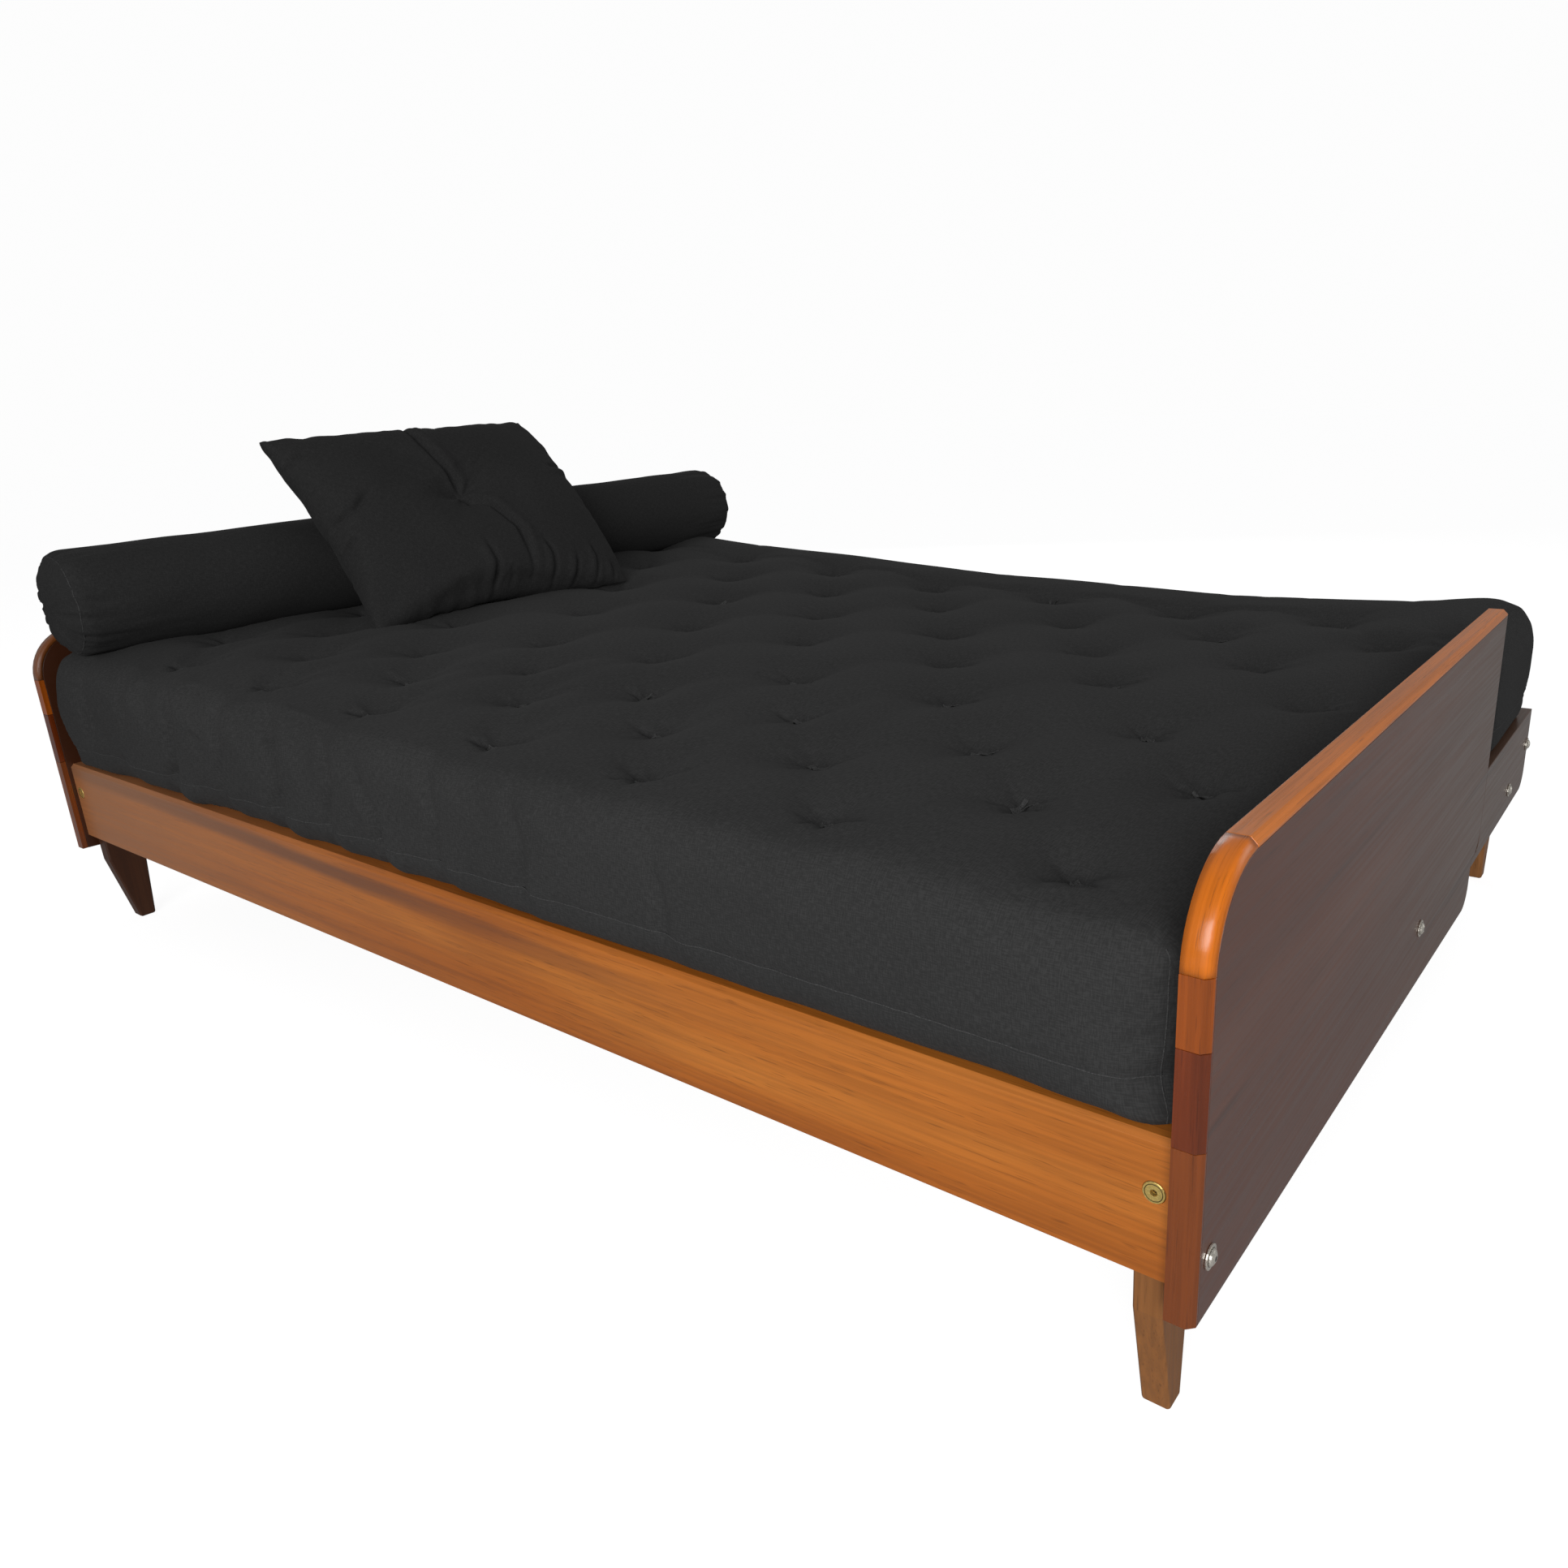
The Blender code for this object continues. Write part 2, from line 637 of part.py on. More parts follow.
def build_bolster():
    rounding = [
        (
            BOLSTER_EDGE_RADIUS * (1 - math.cos(math.radians(angle))),
            BOLSTER_RADIUS - BOLSTER_EDGE_RADIUS * (1 - math.sin(math.radians(angle))),
        )
        for angle in (0, 45, 90)
    ]
    far_end = [(BOLSTER_LENGTH - distance, radius) for distance, radius in reversed(rounding)]
    profile = [(0, 0), *rounding, *far_end, (BOLSTER_LENGTH, 0)]
    bolster = turned("bolster", profile, "black cotton", 28)
    start, along, aside, rise = bolster_place()
    bolster.rotation_euler = Matrix((along, -aside, rise)).transposed().to_euler()
    bolster.location = start


def build_cushion():
    """A cushion that stands on the mattress and leans back on the bolster."""
    half_width, half_height = CUSHION_WIDTH / 2, CUSHION_HEIGHT / 2
    inner_width, inner_height = half_width - CUSHION_RIM_WIDTH, half_height - CUSHION_RIM_WIDTH
    rings = [
        [(-y, -u, depth), (y, -u, depth), (y, u, depth), (-y, u, depth)]
        for y, u, depth in (
            (inner_width, inner_height, CUSHION_THICKNESS / 2),
            (half_width, half_height, CUSHION_RIM / 2),
            (half_width, half_height, -CUSHION_RIM / 2),
            (inner_width, inner_height, -CUSHION_THICKNESS / 2),
        )
    ]
    start, along, aside, rise = bolster_place()
    up = rise * math.sin(CUSHION_TILT) - aside * math.cos(CUSHION_TILT)
    out = rise * math.cos(CUSHION_TILT) + aside * math.sin(CUSHION_TILT)
    reach = BOLSTER_RADIUS + CUSHION_THICKNESS / 2 + SOFT_FIT
    # measured from the bolster's axis: the foot clears the mattress, and the middle plane
    # stands off by the reach
    foot_rise = CUSHION_RIM / 2 * math.cos(CUSHION_TILT) - BOLSTER_RADIUS
    foot_aside = (reach - foot_rise * math.cos(CUSHION_TILT)) / math.sin(CUSHION_TILT)
    middle = (
        start
        + along * ((CUSHION_CENTRE_Y - start.y) / along.y)
        + rise * foot_rise
        + aside * foot_aside
        + up * half_height
    )
    sweep(
        "cushion",
        [[middle + along * y + up * u + out * depth for y, u, depth in ring] for ring in rings],
        "black cotton",
    )


def main():
    clear_scene()
    add_origin()
    for side in (-1, 1):
        build_end(side)
    build_rails()
    build_cams()
    build_slats()
    build_legs()
    build_mattress()
    build_bolster()
    build_cushion()


main()
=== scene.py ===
"""The daybed's looks: lacquered wood, veneered ends, bright fittings and charcoal cotton.

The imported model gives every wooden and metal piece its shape. This script gives those pieces
their finishes, and makes the mattress, the bolster and the cushion as stuffed cotton goods.
"""

import math

import bmesh
import bpy
import numpy as np
from mathutils import Matrix, Vector, noise
from mathutils.bvhtree import BVHTree
from mathutils.kdtree import KDTree


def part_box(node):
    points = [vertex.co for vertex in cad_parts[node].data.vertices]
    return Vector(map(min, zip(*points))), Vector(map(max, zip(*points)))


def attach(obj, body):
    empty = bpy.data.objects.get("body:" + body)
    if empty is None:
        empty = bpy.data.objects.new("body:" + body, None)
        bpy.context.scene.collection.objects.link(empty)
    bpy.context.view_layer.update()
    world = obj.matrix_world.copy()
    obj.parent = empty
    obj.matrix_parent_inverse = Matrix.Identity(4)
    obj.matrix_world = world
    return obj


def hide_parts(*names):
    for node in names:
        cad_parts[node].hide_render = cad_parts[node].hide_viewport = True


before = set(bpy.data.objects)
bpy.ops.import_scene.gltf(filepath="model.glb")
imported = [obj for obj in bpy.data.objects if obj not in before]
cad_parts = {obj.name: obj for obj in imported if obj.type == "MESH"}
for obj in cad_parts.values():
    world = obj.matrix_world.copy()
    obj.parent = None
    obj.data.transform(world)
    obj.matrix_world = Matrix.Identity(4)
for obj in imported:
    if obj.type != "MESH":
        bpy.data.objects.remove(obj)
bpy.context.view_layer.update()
bpy.ops.object.select_all(action="DESELECT")

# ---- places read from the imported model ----
PANEL_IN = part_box("right_end_panel")[0].x  # inner face of the right end panel
PANEL_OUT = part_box("right_end_panel")[1].x
PANEL_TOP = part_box("right_edging_top")[1].z
PANEL_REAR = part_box("right_end_panel")[1].y
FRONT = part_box("front_rail")[0].y  # the front rail's face
RAIL_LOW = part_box("front_rail")[0].z
RAIL_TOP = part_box("front_rail")[1].z
MATTRESS_LOW, MATTRESS_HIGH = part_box("mattress")
BOLSTER_LOW, BOLSTER_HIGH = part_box("bolster")

# ---- the mattress's stitching, in metres from the front rail's face ----
TUFT_ROWS = (0.078, 0.205, 0.325, 0.470, 0.660, 0.850, 1.035, 1.200)
TUFT_FIRST = (0.850, 0.730)  # X of the rightmost tuft in even and in odd rows
TUFT_PITCH = 0.250
TUFT_DEPTH = 0.018
TUFT_REACH = 0.105
SEAM_HEIGHT = 0.042  # of the low seam round the sides, above the underside
# how far the stuffing stands above or below an even slope along the rear edge, by X
REAR_RELIEF = (
    (-0.96, 0.034), (-0.86, 0.030), (-0.575, 0.008), (0.05, -0.018), (0.52, -0.026),
    (0.81, -0.012), (0.96, 0.004),
)


# ---- small helpers ----
def smooth(low, high, value):
    """0 below low, 1 above high, and an even curve between."""
    t = np.clip((value - low) / (high - low), 0, 1)
    return t * t * (3 - 2 * t)


def points_of(piece):
    flat = np.empty(len(piece.data.vertices) * 3)
    piece.data.vertices.foreach_get("co", flat)
    return flat.reshape(-1, 3)


def set_points(piece, points):
    piece.data.vertices.foreach_set("co", np.asarray(points, float).ravel())
    piece.data.update()


def normals_of(piece):
    flat = np.empty(len(piece.data.vertices) * 3)
    piece.data.vertex_normals.foreach_get("vector", flat)
    return flat.reshape(-1, 3)


def waves(points, scale, seed, octaves=2):
    """Smooth noise from -1 to 1 at each point."""
    shift = Vector((seed * 7.3, seed * 3.1, seed * 5.7))
    return np.array(
        [noise.fractal(Vector(p) * scale + shift, 1.0, 2.0, octaves) for p in points]
    )


def bare_object(name, mesh):
    piece = bpy.data.objects.new(name, mesh)
    bpy.context.scene.collection.objects.link(piece)
    return piece


def apply_modifiers(piece):
    bpy.ops.object.select_all(action="DESELECT")
    piece.select_set(True)
    bpy.context.view_layer.objects.active = piece
    for modifier in list(piece.modifiers):
        bpy.ops.object.modifier_apply(modifier=modifier.name)
    piece.select_set(False)


def shade_smooth(piece):
    piece.data.polygons.foreach_set("use_smooth", [True] * len(piece.data.polygons))


# ---- materials ----
class Finish:
    """One procedural material and short ways to add and join its nodes."""

    def __init__(self, name):
        self.material = bpy.data.materials.new(name)
        self.material.use_nodes = True
        self.nodes = self.material.node_tree.nodes
        self.links = self.material.node_tree.links
        self.shader = self.nodes["Principled BSDF"]

    def set(self, **values):
        for label, value in values.items():
            self.shader.inputs[label.replace("_", " ")].default_value = value

    def join(self, source, target):
        self.links.new(source, target)

    def add(self, kind, **settings):
        node = self.nodes.new(kind)
        for label, value in settings.items():
            setattr(node, label, value)
        return node

    def object_coordinates(self):
        return self.add("ShaderNodeTexCoord").outputs["Object"]

    def mapped(self, vector, scale=(1, 1, 1), location=(0, 0, 0), rotation=(0, 0, 0)):
        node = self.add("ShaderNodeMapping")
        node.inputs["Scale"].default_value = scale
        node.inputs["Location"].default_value = location
        node.inputs["Rotation"].default_value = rotation
        self.join(vector, node.inputs["Vector"])
        return node.outputs["Vector"]

    def noise(self, vector, scale, detail=3.0, roughness=0.5, distortion=0.0):
        node = self.add("ShaderNodeTexNoise")
        node.inputs["Scale"].default_value = scale
        node.inputs["Detail"].default_value = detail
        node.inputs["Roughness"].default_value = roughness
        node.inputs["Distortion"].default_value = distortion
        self.join(vector, node.inputs["Vector"])
        return node.outputs["Fac"]

    def math(self, operation, first, second=0.0, third=None):
        node = self.add("ShaderNodeMath", operation=operation)
        for socket, value in zip(node.inputs, (first, second, third)):
            if value is None:
                continue
            if isinstance(value, (int, float)):
                socket.default_value = value
            else:
                self.join(value, socket)
        return node.outputs[0]

    def ranged(self, value, low, high, to_low=0.0, to_high=1.0):
        node = self.add("ShaderNodeMapRange", interpolation_type="SMOOTHSTEP")
        for label, number in (
            ("From Min", low), ("From Max", high), ("To Min", to_low), ("To Max", to_high)
        ):
            node.inputs[label].default_value = number
        self.join(value, node.inputs["Value"])
        return node.outputs["Result"]

    def ramp(self, factor, stops):
        node = self.add("ShaderNodeValToRGB")
        elements = node.color_ramp.elements
        while len(elements) < len(stops):
            elements.new(0.5)
        for element, (place, colour) in zip(elements, stops):
            element.position = place
            element.color = (*colour, 1)
        self.join(factor, node.inputs["Fac"])
        return node.outputs["Color"]

    def mix(self, factor, first, second, blend="MIX"):
        node = self.add("ShaderNodeMix", data_type="RGBA", blend_type=blend)
        sockets = [s for s in node.inputs if s.enabled or s.type == "RGBA"]
        factor_in = node.inputs[0]
        first_in, second_in = [s for s in sockets if s.type == "RGBA"][:2]
        for socket, value in ((factor_in, factor), (first_in, first), (second_in, second)):
            if isinstance(value, (int, float)):
                socket.default_value = value
            elif isinstance(value, tuple):
                socket.default_value = (*value, 1)
            else:
                self.join(value, socket)
        return next(s for s in node.outputs if s.type == "RGBA")

    def bump(self, height, strength, distance):
        node = self.add("ShaderNodeBump")
        node.inputs["Strength"].default_value = strength
        node.inputs["Distance"].default_value = distance
        self.join(height, node.inputs["Height"])
        self.join(node.outputs["Normal"], self.shader.inputs["Normal"])


def grain_space(finish, axis, seed):
    """Coordinates whose first axis runs along the grain."""
    turn = {"X": (0, 0, 0), "Y": (0, 0, math.pi / 2), "Z": (0, math.pi / 2, 0)}[axis]
    return finish.mapped(finish.object_coordinates(), rotation=turn, location=(seed, seed * 2, 0))


def curved_grain_space(finish, centre_y, centre_z, radius):
    """Coordinates whose first axis runs round a bend in the Y-Z plane."""
    separate = finish.add("ShaderNodeSeparateXYZ")
    finish.join(finish.object_coordinates(), separate.inputs[0])
    y = finish.math("SUBTRACT", separate.outputs["Y"], centre_y)
    z = finish.math("SUBTRACT", separate.outputs["Z"], centre_z)
    angle = finish.math("ARCTAN2", z, y)
    squares = finish.math("ADD", finish.math("MULTIPLY", y, y), finish.math("MULTIPLY", z, z))
    combine = finish.add("ShaderNodeCombineXYZ")
    finish.join(finish.math("MULTIPLY", angle, radius), combine.inputs["X"])
    finish.join(finish.math("SQRT", squares), combine.inputs["Y"])
    finish.join(separate.outputs["X"], combine.inputs["Z"])
    return combine.outputs[0]


def wood(name, space, dark, middle, light, bands=14.0, gloss=0.4, coat=0.15, contrast=1.0):
    """Straight-grained lacquered wood: broad bands, fibres, pores and a slight ripple."""
    finish = Finish(name)
    along = space(finish)
    wide = finish.noise(
        finish.mapped(along, scale=(0.9, bands, bands)), 1.0, detail=4.0, distortion=0.5
    )
    fibres = finish.noise(finish.mapped(along, scale=(5, 230, 230)), 1.0, detail=2.0)
    pores = finish.noise(finish.mapped(along, scale=(26, 760, 760)), 1.0, detail=1.0)
    patches = finish.noise(finish.mapped(along, scale=(3.0, 5, 5)), 1.0, detail=2.0)
    spread = 0.22 / contrast
    base = finish.ramp(wide, [(0.5 - spread, dark), (0.5, middle), (0.5 + spread, light)])
    base = finish.mix(
        finish.ranged(patches, 0.35, 0.7, 0.0, 0.35), base, dark, blend="MIX"
    )
    shade = finish.ranged(fibres, 0.3, 0.7, 0.86, 1.08)
    base = finish.mix(1.0, base, finish.grey(shade), blend="MULTIPLY")
    ticks = finish.ranged(pores, 0.62, 0.74, 1.0, 0.72)
    base = finish.mix(1.0, base, finish.grey(ticks), blend="MULTIPLY")
    finish.colour = base
    finish.along = along
    finish.join(base, finish.shader.inputs["Base Color"])
    finish.join(
        finish.ranged(fibres, 0.2, 0.8, gloss - 0.05, gloss + 0.06),
        finish.shader.inputs["Roughness"],
    )
    finish.bump(finish.math("ADD", fibres, finish.math("MULTIPLY", ticks, 0.6)), 0.12, 0.0004)
    finish.set(Coat_Weight=coat, Coat_Roughness=0.18)
    return finish


def grey(self, value):
    """The same value as red, green and blue."""
    node = self.add("ShaderNodeCombineColor")
    for socket in node.inputs:
        self.join(value, socket)
    return node.outputs[0]


Finish.grey = grey


def rail_finish():
    """Honey-coloured wood with a dark streak along the upper left of the front rail."""
    finish = wood(
        "rail_wood", lambda f: grain_space(f, "X", 0.0),
        (0.33, 0.085, 0.008), (0.52, 0.145, 0.013), (0.66, 0.215, 0.028), gloss=0.42, coat=0.10,
    )
    separate = finish.add("ShaderNodeSeparateXYZ")
    finish.join(finish.object_coordinates(), separate.inputs[0])
    ragged = finish.noise(
        finish.mapped(finish.object_coordinates(), scale=(2.2, 8, 26)), 1.0, 3.0, distortion=0.4
    )
    # the streak sinks from the rail's top by the left end towards its middle
    slope = finish.math("MULTIPLY", separate.outputs["X"], 0.014)
    height = finish.math("ADD", separate.outputs["Z"], slope)
    height = finish.math("ADD", height, finish.math("MULTIPLY", ragged, 0.020))
    centre = RAIL_TOP - 0.022
    above = finish.ranged(height, centre - 0.014, centre + 0.003)
    below = finish.ranged(height, centre + 0.010, centre + 0.022, 1.0, 0.0)
    leftward = finish.ranged(separate.outputs["X"], -0.35, 0.65, 1.0, 0.0)
    streak = finish.math("MULTIPLY", finish.math("MULTIPLY", above, below), leftward)
    streak = finish.math("MULTIPLY", streak, 0.85)
    coloured = finish.mix(streak, finish.colour, (0.095, 0.038, 0.024))
    # the wood is greyer and redder towards the left end
    pale = finish.ranged(separate.outputs["X"], -1.0, 0.3, 0.60, 0.0)
    coloured = finish.mix(pale, coloured, (0.50, 0.225, 0.105))
    finish.join(coloured, finish.shader.inputs["Base Color"])
    return finish.material


def veneer_finish():
    """Dark veneer on the outside of the end panels, red-brown on their inner faces, greyed towards the
    rear by a painted reflection.
    """
    finish = wood(
        "panel_veneer", lambda f: grain_space(f, "Y", 1.3),
        (0.120, 0.036, 0.018), (0.165, 0.055, 0.030), (0.210, 0.080, 0.048),
        bands=9.0, gloss=0.32, coat=0.15, contrast=0.8,
    )
    separate = finish.add("ShaderNodeSeparateXYZ")
    finish.join(finish.object_coordinates(), separate.inputs[0])
    # painted reflection: greener and greyer towards the rear, standing in for the floor's grey
    # reflection over the panel's rear half
    rearward = finish.ranged(separate.outputs["Y"], -0.5, 0.5, 0.0, 0.55)
    coloured = finish.mix(rearward, finish.colour, (0.110, 0.078, 0.050))
    lines = finish.noise(
        finish.mapped(finish.object_coordinates(), scale=(4, 1.6, 34)), 1.0, 3.0, distortion=0.3
    )
    coloured = finish.mix(
        finish.ranged(lines, 0.60, 0.70, 0.0, 0.45), coloured, (0.040, 0.024, 0.020)
    )
    outward = finish.math("ABSOLUTE", separate.outputs["X"])
    inside = finish.ranged(outward, PANEL_IN + 0.001, PANEL_IN + 0.004, 1.0, 0.0)
    coloured = finish.mix(inside, coloured, (0.060, 0.018, 0.007))
    finish.join(coloured, finish.shader.inputs["Base Color"])
    return finish.material


def edging_finish(name, space, colour, seed, rounded=False):
    """Glossy solid edging; each piece was cut from another board and has its own colour."""
    base = np.array(colour)
    finish = wood(
        name, space, tuple(base * 0.62), tuple(base), tuple(base * 1.35),
        bands=26.0 + seed, gloss=0.27, coat=0.35, contrast=1.1,
    )
    finish.set(Coat_Roughness=0.10)
    if rounded:
        # the bend is one smooth curve
        smoothing = finish.add("ShaderNodeBevel", samples=8)
        smoothing.inputs["Radius"].default_value = 0.012
        relief = finish.shader.inputs["Normal"].links[0].from_node
        finish.join(smoothing.outputs["Normal"], relief.inputs["Normal"])
        finish.join(smoothing.outputs["Normal"], finish.shader.inputs["Coat Normal"])
    return finish.material


def metal_finish(name, colour, roughness):
    """Plated metal with fine turning marks and small scuffs."""
    finish = Finish(name)
    scuffs = finish.noise(finish.mapped(finish.object_coordinates(), scale=(900,) * 3), 1.0, 2.0)
    tint = finish.ramp(
        scuffs, [(0.3, tuple(c * 0.78 for c in colour)), (0.6, colour)]
    )
    finish.join(tint, finish.shader.inputs["Base Color"])
    finish.join(
        finish.ranged(scuffs, 0.3, 0.7, roughness - 0.06, roughness + 0.12),
        finish.shader.inputs["Roughness"],
    )
    finish.set(Metallic=0.85)
    finish.tint = tint
    return finish


def painted_hollow_shade(finish, axes, centre, rings):
    """Darkens rings about a centre on a plane, painted shade standing in for a fitting's centre hole and
    the edge of its ring: each ring is (inner radius, outer radius).
    """
    separate = finish.add("ShaderNodeSeparateXYZ")
    finish.join(finish.object_coordinates(), separate.inputs[0])
    first = finish.math("SUBTRACT", separate.outputs[axes[0]], centre[0])
    second = finish.math("SUBTRACT", separate.outputs[axes[1]], centre[1])
    squares = finish.math(
        "ADD", finish.math("MULTIPLY", first, first), finish.math("MULTIPLY", second, second)
    )
    radius = finish.math("SQRT", squares)
    colour = finish.tint
    for inner, outer in rings:
        soft = 0.0003
        rise = finish.ranged(radius, inner - soft, inner + soft) if inner else 1.0
        fall = finish.ranged(radius, outer - soft, outer + soft, 1.0, 0.0)
        dark = fall if inner == 0 else finish.math("MULTIPLY", rise, fall)
        colour = finish.mix(dark, colour, (0.05, 0.03, 0.012))
    finish.join(colour, finish.shader.inputs["Base Color"])


def cotton_finish(name, depth):
    """Charcoal cotton: slubby threads both ways, a dry surface and a soft sheen."""
    finish = Finish(name)
    weave = finish.add("ShaderNodeUVMap", uv_map="cloth").outputs["UV"]
    warp = finish.noise(finish.mapped(weave, scale=(900, 120, 1)), 1.0, detail=2.0)
    weft = finish.noise(finish.mapped(weave, scale=(120, 900, 1)), 1.0, detail=2.0)
    threads = finish.math("ADD", warp, weft)
    worn = finish.noise(finish.object_coordinates(), 5.0, detail=2.0)
    shade = finish.math("ADD", finish.math("MULTIPLY", threads, 0.75),
                        finish.math("MULTIPLY", worn, 0.25))
    colour = finish.ramp(
        shade, [(0.60, (0.028 * depth,) * 3), (0.86, (0.034 * depth,) * 3),
                (1.0, (0.042 * depth,) * 3)]
    )
    finish.join(colour, finish.shader.inputs["Base Color"])
    finish.bump(threads, 0.35, 0.0006)
    finish.set(Roughness=0.95, Sheen_Weight=0.03, Sheen_Roughness=0.5, Specular_IOR_Level=0.0)
    return finish.material


def thread_finish(name, depth):
    """Twisted tape or thread of nearly the cotton's colour."""
    finish = Finish(name)
    along = finish.noise(finish.mapped(finish.object_coordinates(), scale=(700,) * 3), 1.0, 2.0)
    colour = finish.ramp(along, [(0.3, (0.040 * depth,) * 3), (0.7, (0.095 * depth,) * 3)])
    finish.join(colour, finish.shader.inputs["Base Color"])
    finish.bump(along, 0.3, 0.0004)
    finish.set(Roughness=0.9, Specular_IOR_Level=0.1)
    return finish.material


def dress(node, material, worn_edge=0.0):
    """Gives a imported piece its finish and, where it shows, slightly worn edges."""
    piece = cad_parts[node]
    piece.data.materials.clear()
    piece.data.materials.append(material)
    if worn_edge:
        weld = piece.modifiers.new("joined", "WELD")
        weld.merge_threshold = 0.00002
        bevel = piece.modifiers.new("worn_edge", "BEVEL")
        bevel.width = worn_edge
        bevel.segments = 2
        bevel.limit_method = "ANGLE"
        bevel.angle_limit = math.radians(25)


def dress_frame():
    rail = rail_finish()
    for node in ("front_rail", "rear_rail", "mattress_stop"):
        dress(node, rail, 0.0008)
    veneer = veneer_finish()
    leg = wood(
        "leg_wood", lambda f: grain_space(f, "Z", 4.0),
        (0.24, 0.090, 0.022), (0.37, 0.145, 0.038), (0.47, 0.200, 0.062),
        bands=22.0, gloss=0.50, coat=0.05,
    ).material
    # painted shade: the front left leg gets a near-black copy of the leg wood, standing in for the shade
    # that falls on it
    dark_leg = wood(
        "dark_leg_wood", lambda f: grain_space(f, "Z", 5.0),
        (0.045, 0.012, 0.003), (0.075, 0.022, 0.006), (0.12, 0.042, 0.014),
        bands=22.0, gloss=0.45, coat=0.05,
    ).material
    slat_across = wood(
        "slat_wood", lambda f: grain_space(f, "Y", 6.0),
        (0.36, 0.22, 0.11), (0.50, 0.33, 0.18), (0.60, 0.43, 0.26), gloss=0.62, coat=0.0,
    ).material
    slat_long = wood(
        "ledger_wood", lambda f: grain_space(f, "X", 8.0),
        (0.36, 0.22, 0.11), (0.50, 0.33, 0.18), (0.60, 0.43, 0.26), gloss=0.62, coat=0.0,
    ).material
    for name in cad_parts:
        if name.startswith("slat_") or name.endswith(("side_cleat", "corner_block")):
            dress(name, slat_across, 0.0008)
        elif name.endswith("_ledger") or name == "middle_rail":
            dress(name, slat_long, 0.0008)
        elif name.endswith("_leg"):
            dress(name, dark_leg if name == "front_left_leg" else leg, 0.0010)
    corner_low, corner_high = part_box("right_edging_corner")
    corner_radius = corner_high.y - corner_low.y
    for side in ("left", "right"):
        dress(f"{side}_end_panel", veneer, 0.0005)
        dress(f"{side}_extension_board", veneer, 0.0008)
        for part, colour, seed in (
            ("lower", (0.27, 0.062, 0.008), 2.0),
            ("middle", (0.170, 0.028, 0.003), 9.0),
            ("upper", (0.42, 0.088, 0.004), 5.0),
        ):
            dress(
                f"{side}_edging_{part}",
                edging_finish(
                    f"{side}_edging_{part}", lambda f, s=seed: grain_space(f, "Z", s), colour, seed
                ),
                0.0006,
            )
        dress(
            f"{side}_edging_corner",
            edging_finish(
                f"{side}_edging_corner",
                lambda f: curved_grain_space(
                    f, corner_low.y + corner_radius, corner_high.z - corner_radius, corner_radius
                ),
                (0.80, 0.19, 0.004) if side == "right" else (0.30, 0.09, 0.02), 4.0, True,
            ),
            0.0006,
        )
        dress(
            f"{side}_edging_top",
            edging_finish(
                f"{side}_edging_top", lambda f: grain_space(f, "Y", 3.0), (0.92, 0.250, 0.020), 6.0
            ),
            0.0006,
        )
        for bolt in ("front", "middle", "extension", "rear"):
            node = f"{side}_{bolt}_bolt"
            low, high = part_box(node)
            nickel = metal_finish(f"{node}_nickel", (0.95, 0.90, 0.80), 0.28)
            centre = ((low.y + high.y) / 2, (low.z + high.z) / 2)
            painted_hollow_shade(nickel, "YZ", centre, ((0.0, 0.0022), (0.0072, 0.0078)))
            dress(node, nickel.material, 0.0004)
        node = f"{side}_cam_lock"
        low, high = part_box(node)
        brass = metal_finish(f"{node}_brass", (1.0, 0.74, 0.24), 0.34)
        centre = ((low.x + high.x) / 2, (low.z + high.z) / 2)
        painted_hollow_shade(brass, "XZ", centre, ((0.0, 0.0026), (0.0070, 0.0077)))
        dress(node, brass.material, 0.0003)


# ---- stuffed goods ----
def soft_copy(node, name, voxel):
    """An evenly meshed copy of a soft solid, with its places before filling kept as "sewn"."""
    shape = bmesh.new()
    shape.from_mesh(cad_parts[node].data)
    bmesh.ops.remove_doubles(shape, verts=shape.verts, dist=0.00002)
    mesh = bpy.data.meshes.new(name)
    shape.to_mesh(mesh)
    shape.free()
    mesh.materials.clear()
    piece = bare_object(name, mesh)
    remesh = piece.modifiers.new("even_mesh", "REMESH")
    remesh.mode = "VOXEL"
    remesh.voxel_size = voxel
    apply_modifiers(piece)
    keep_sewn(piece, points_of(piece))
    return piece


def keep_sewn(piece, points):
    attribute = piece.data.attributes.get("sewn") or piece.data.attributes.new(
        "sewn", "FLOAT_VECTOR", "POINT"
    )
    attribute.data.foreach_set("vector", np.asarray(points, np.float32).ravel())


def sewn_of(piece):
    flat = np.empty(len(piece.data.vertices) * 3, np.float32)
    piece.data.attributes["sewn"].data.foreach_get("vector", flat)
    return flat.reshape(-1, 3).astype(float)


def corner_table(piece):
    """Each face corner's vertex and face."""
    mesh = piece.data
    vertex = np.empty(len(mesh.loops), int)
    mesh.loops.foreach_get("vertex_index", vertex)
    total = np.empty(len(mesh.polygons), int)
    mesh.polygons.foreach_get("loop_total", total)
    return vertex, np.repeat(np.arange(len(total)), total)


def lay_cloth(piece, pairs):
    """Writes the cloth's own coordinates, in metres, from a (corners, 2) table."""
    layer = piece.data.uv_layers.new(name="cloth")
    layer.data.foreach_set("uv", np.asarray(pairs, np.float32).ravel())


def lay_cloth_boxed(piece, sewn):
    """The cloth's threads run square to the sides of the sewn shape."""
    vertex, face = corner_table(piece)
    normals = np.empty(len(piece.data.polygons) * 3)
    piece.data.polygons.foreach_get("normal", normals)
    axis = np.abs(normals.reshape(-1, 3)).argmax(1)[face]
    x, y, z = sewn[vertex].T
    u = np.where(axis == 0, y, x)
    v = np.where(axis == 2, y, z)
    lay_cloth(piece, np.column_stack((u, v)))


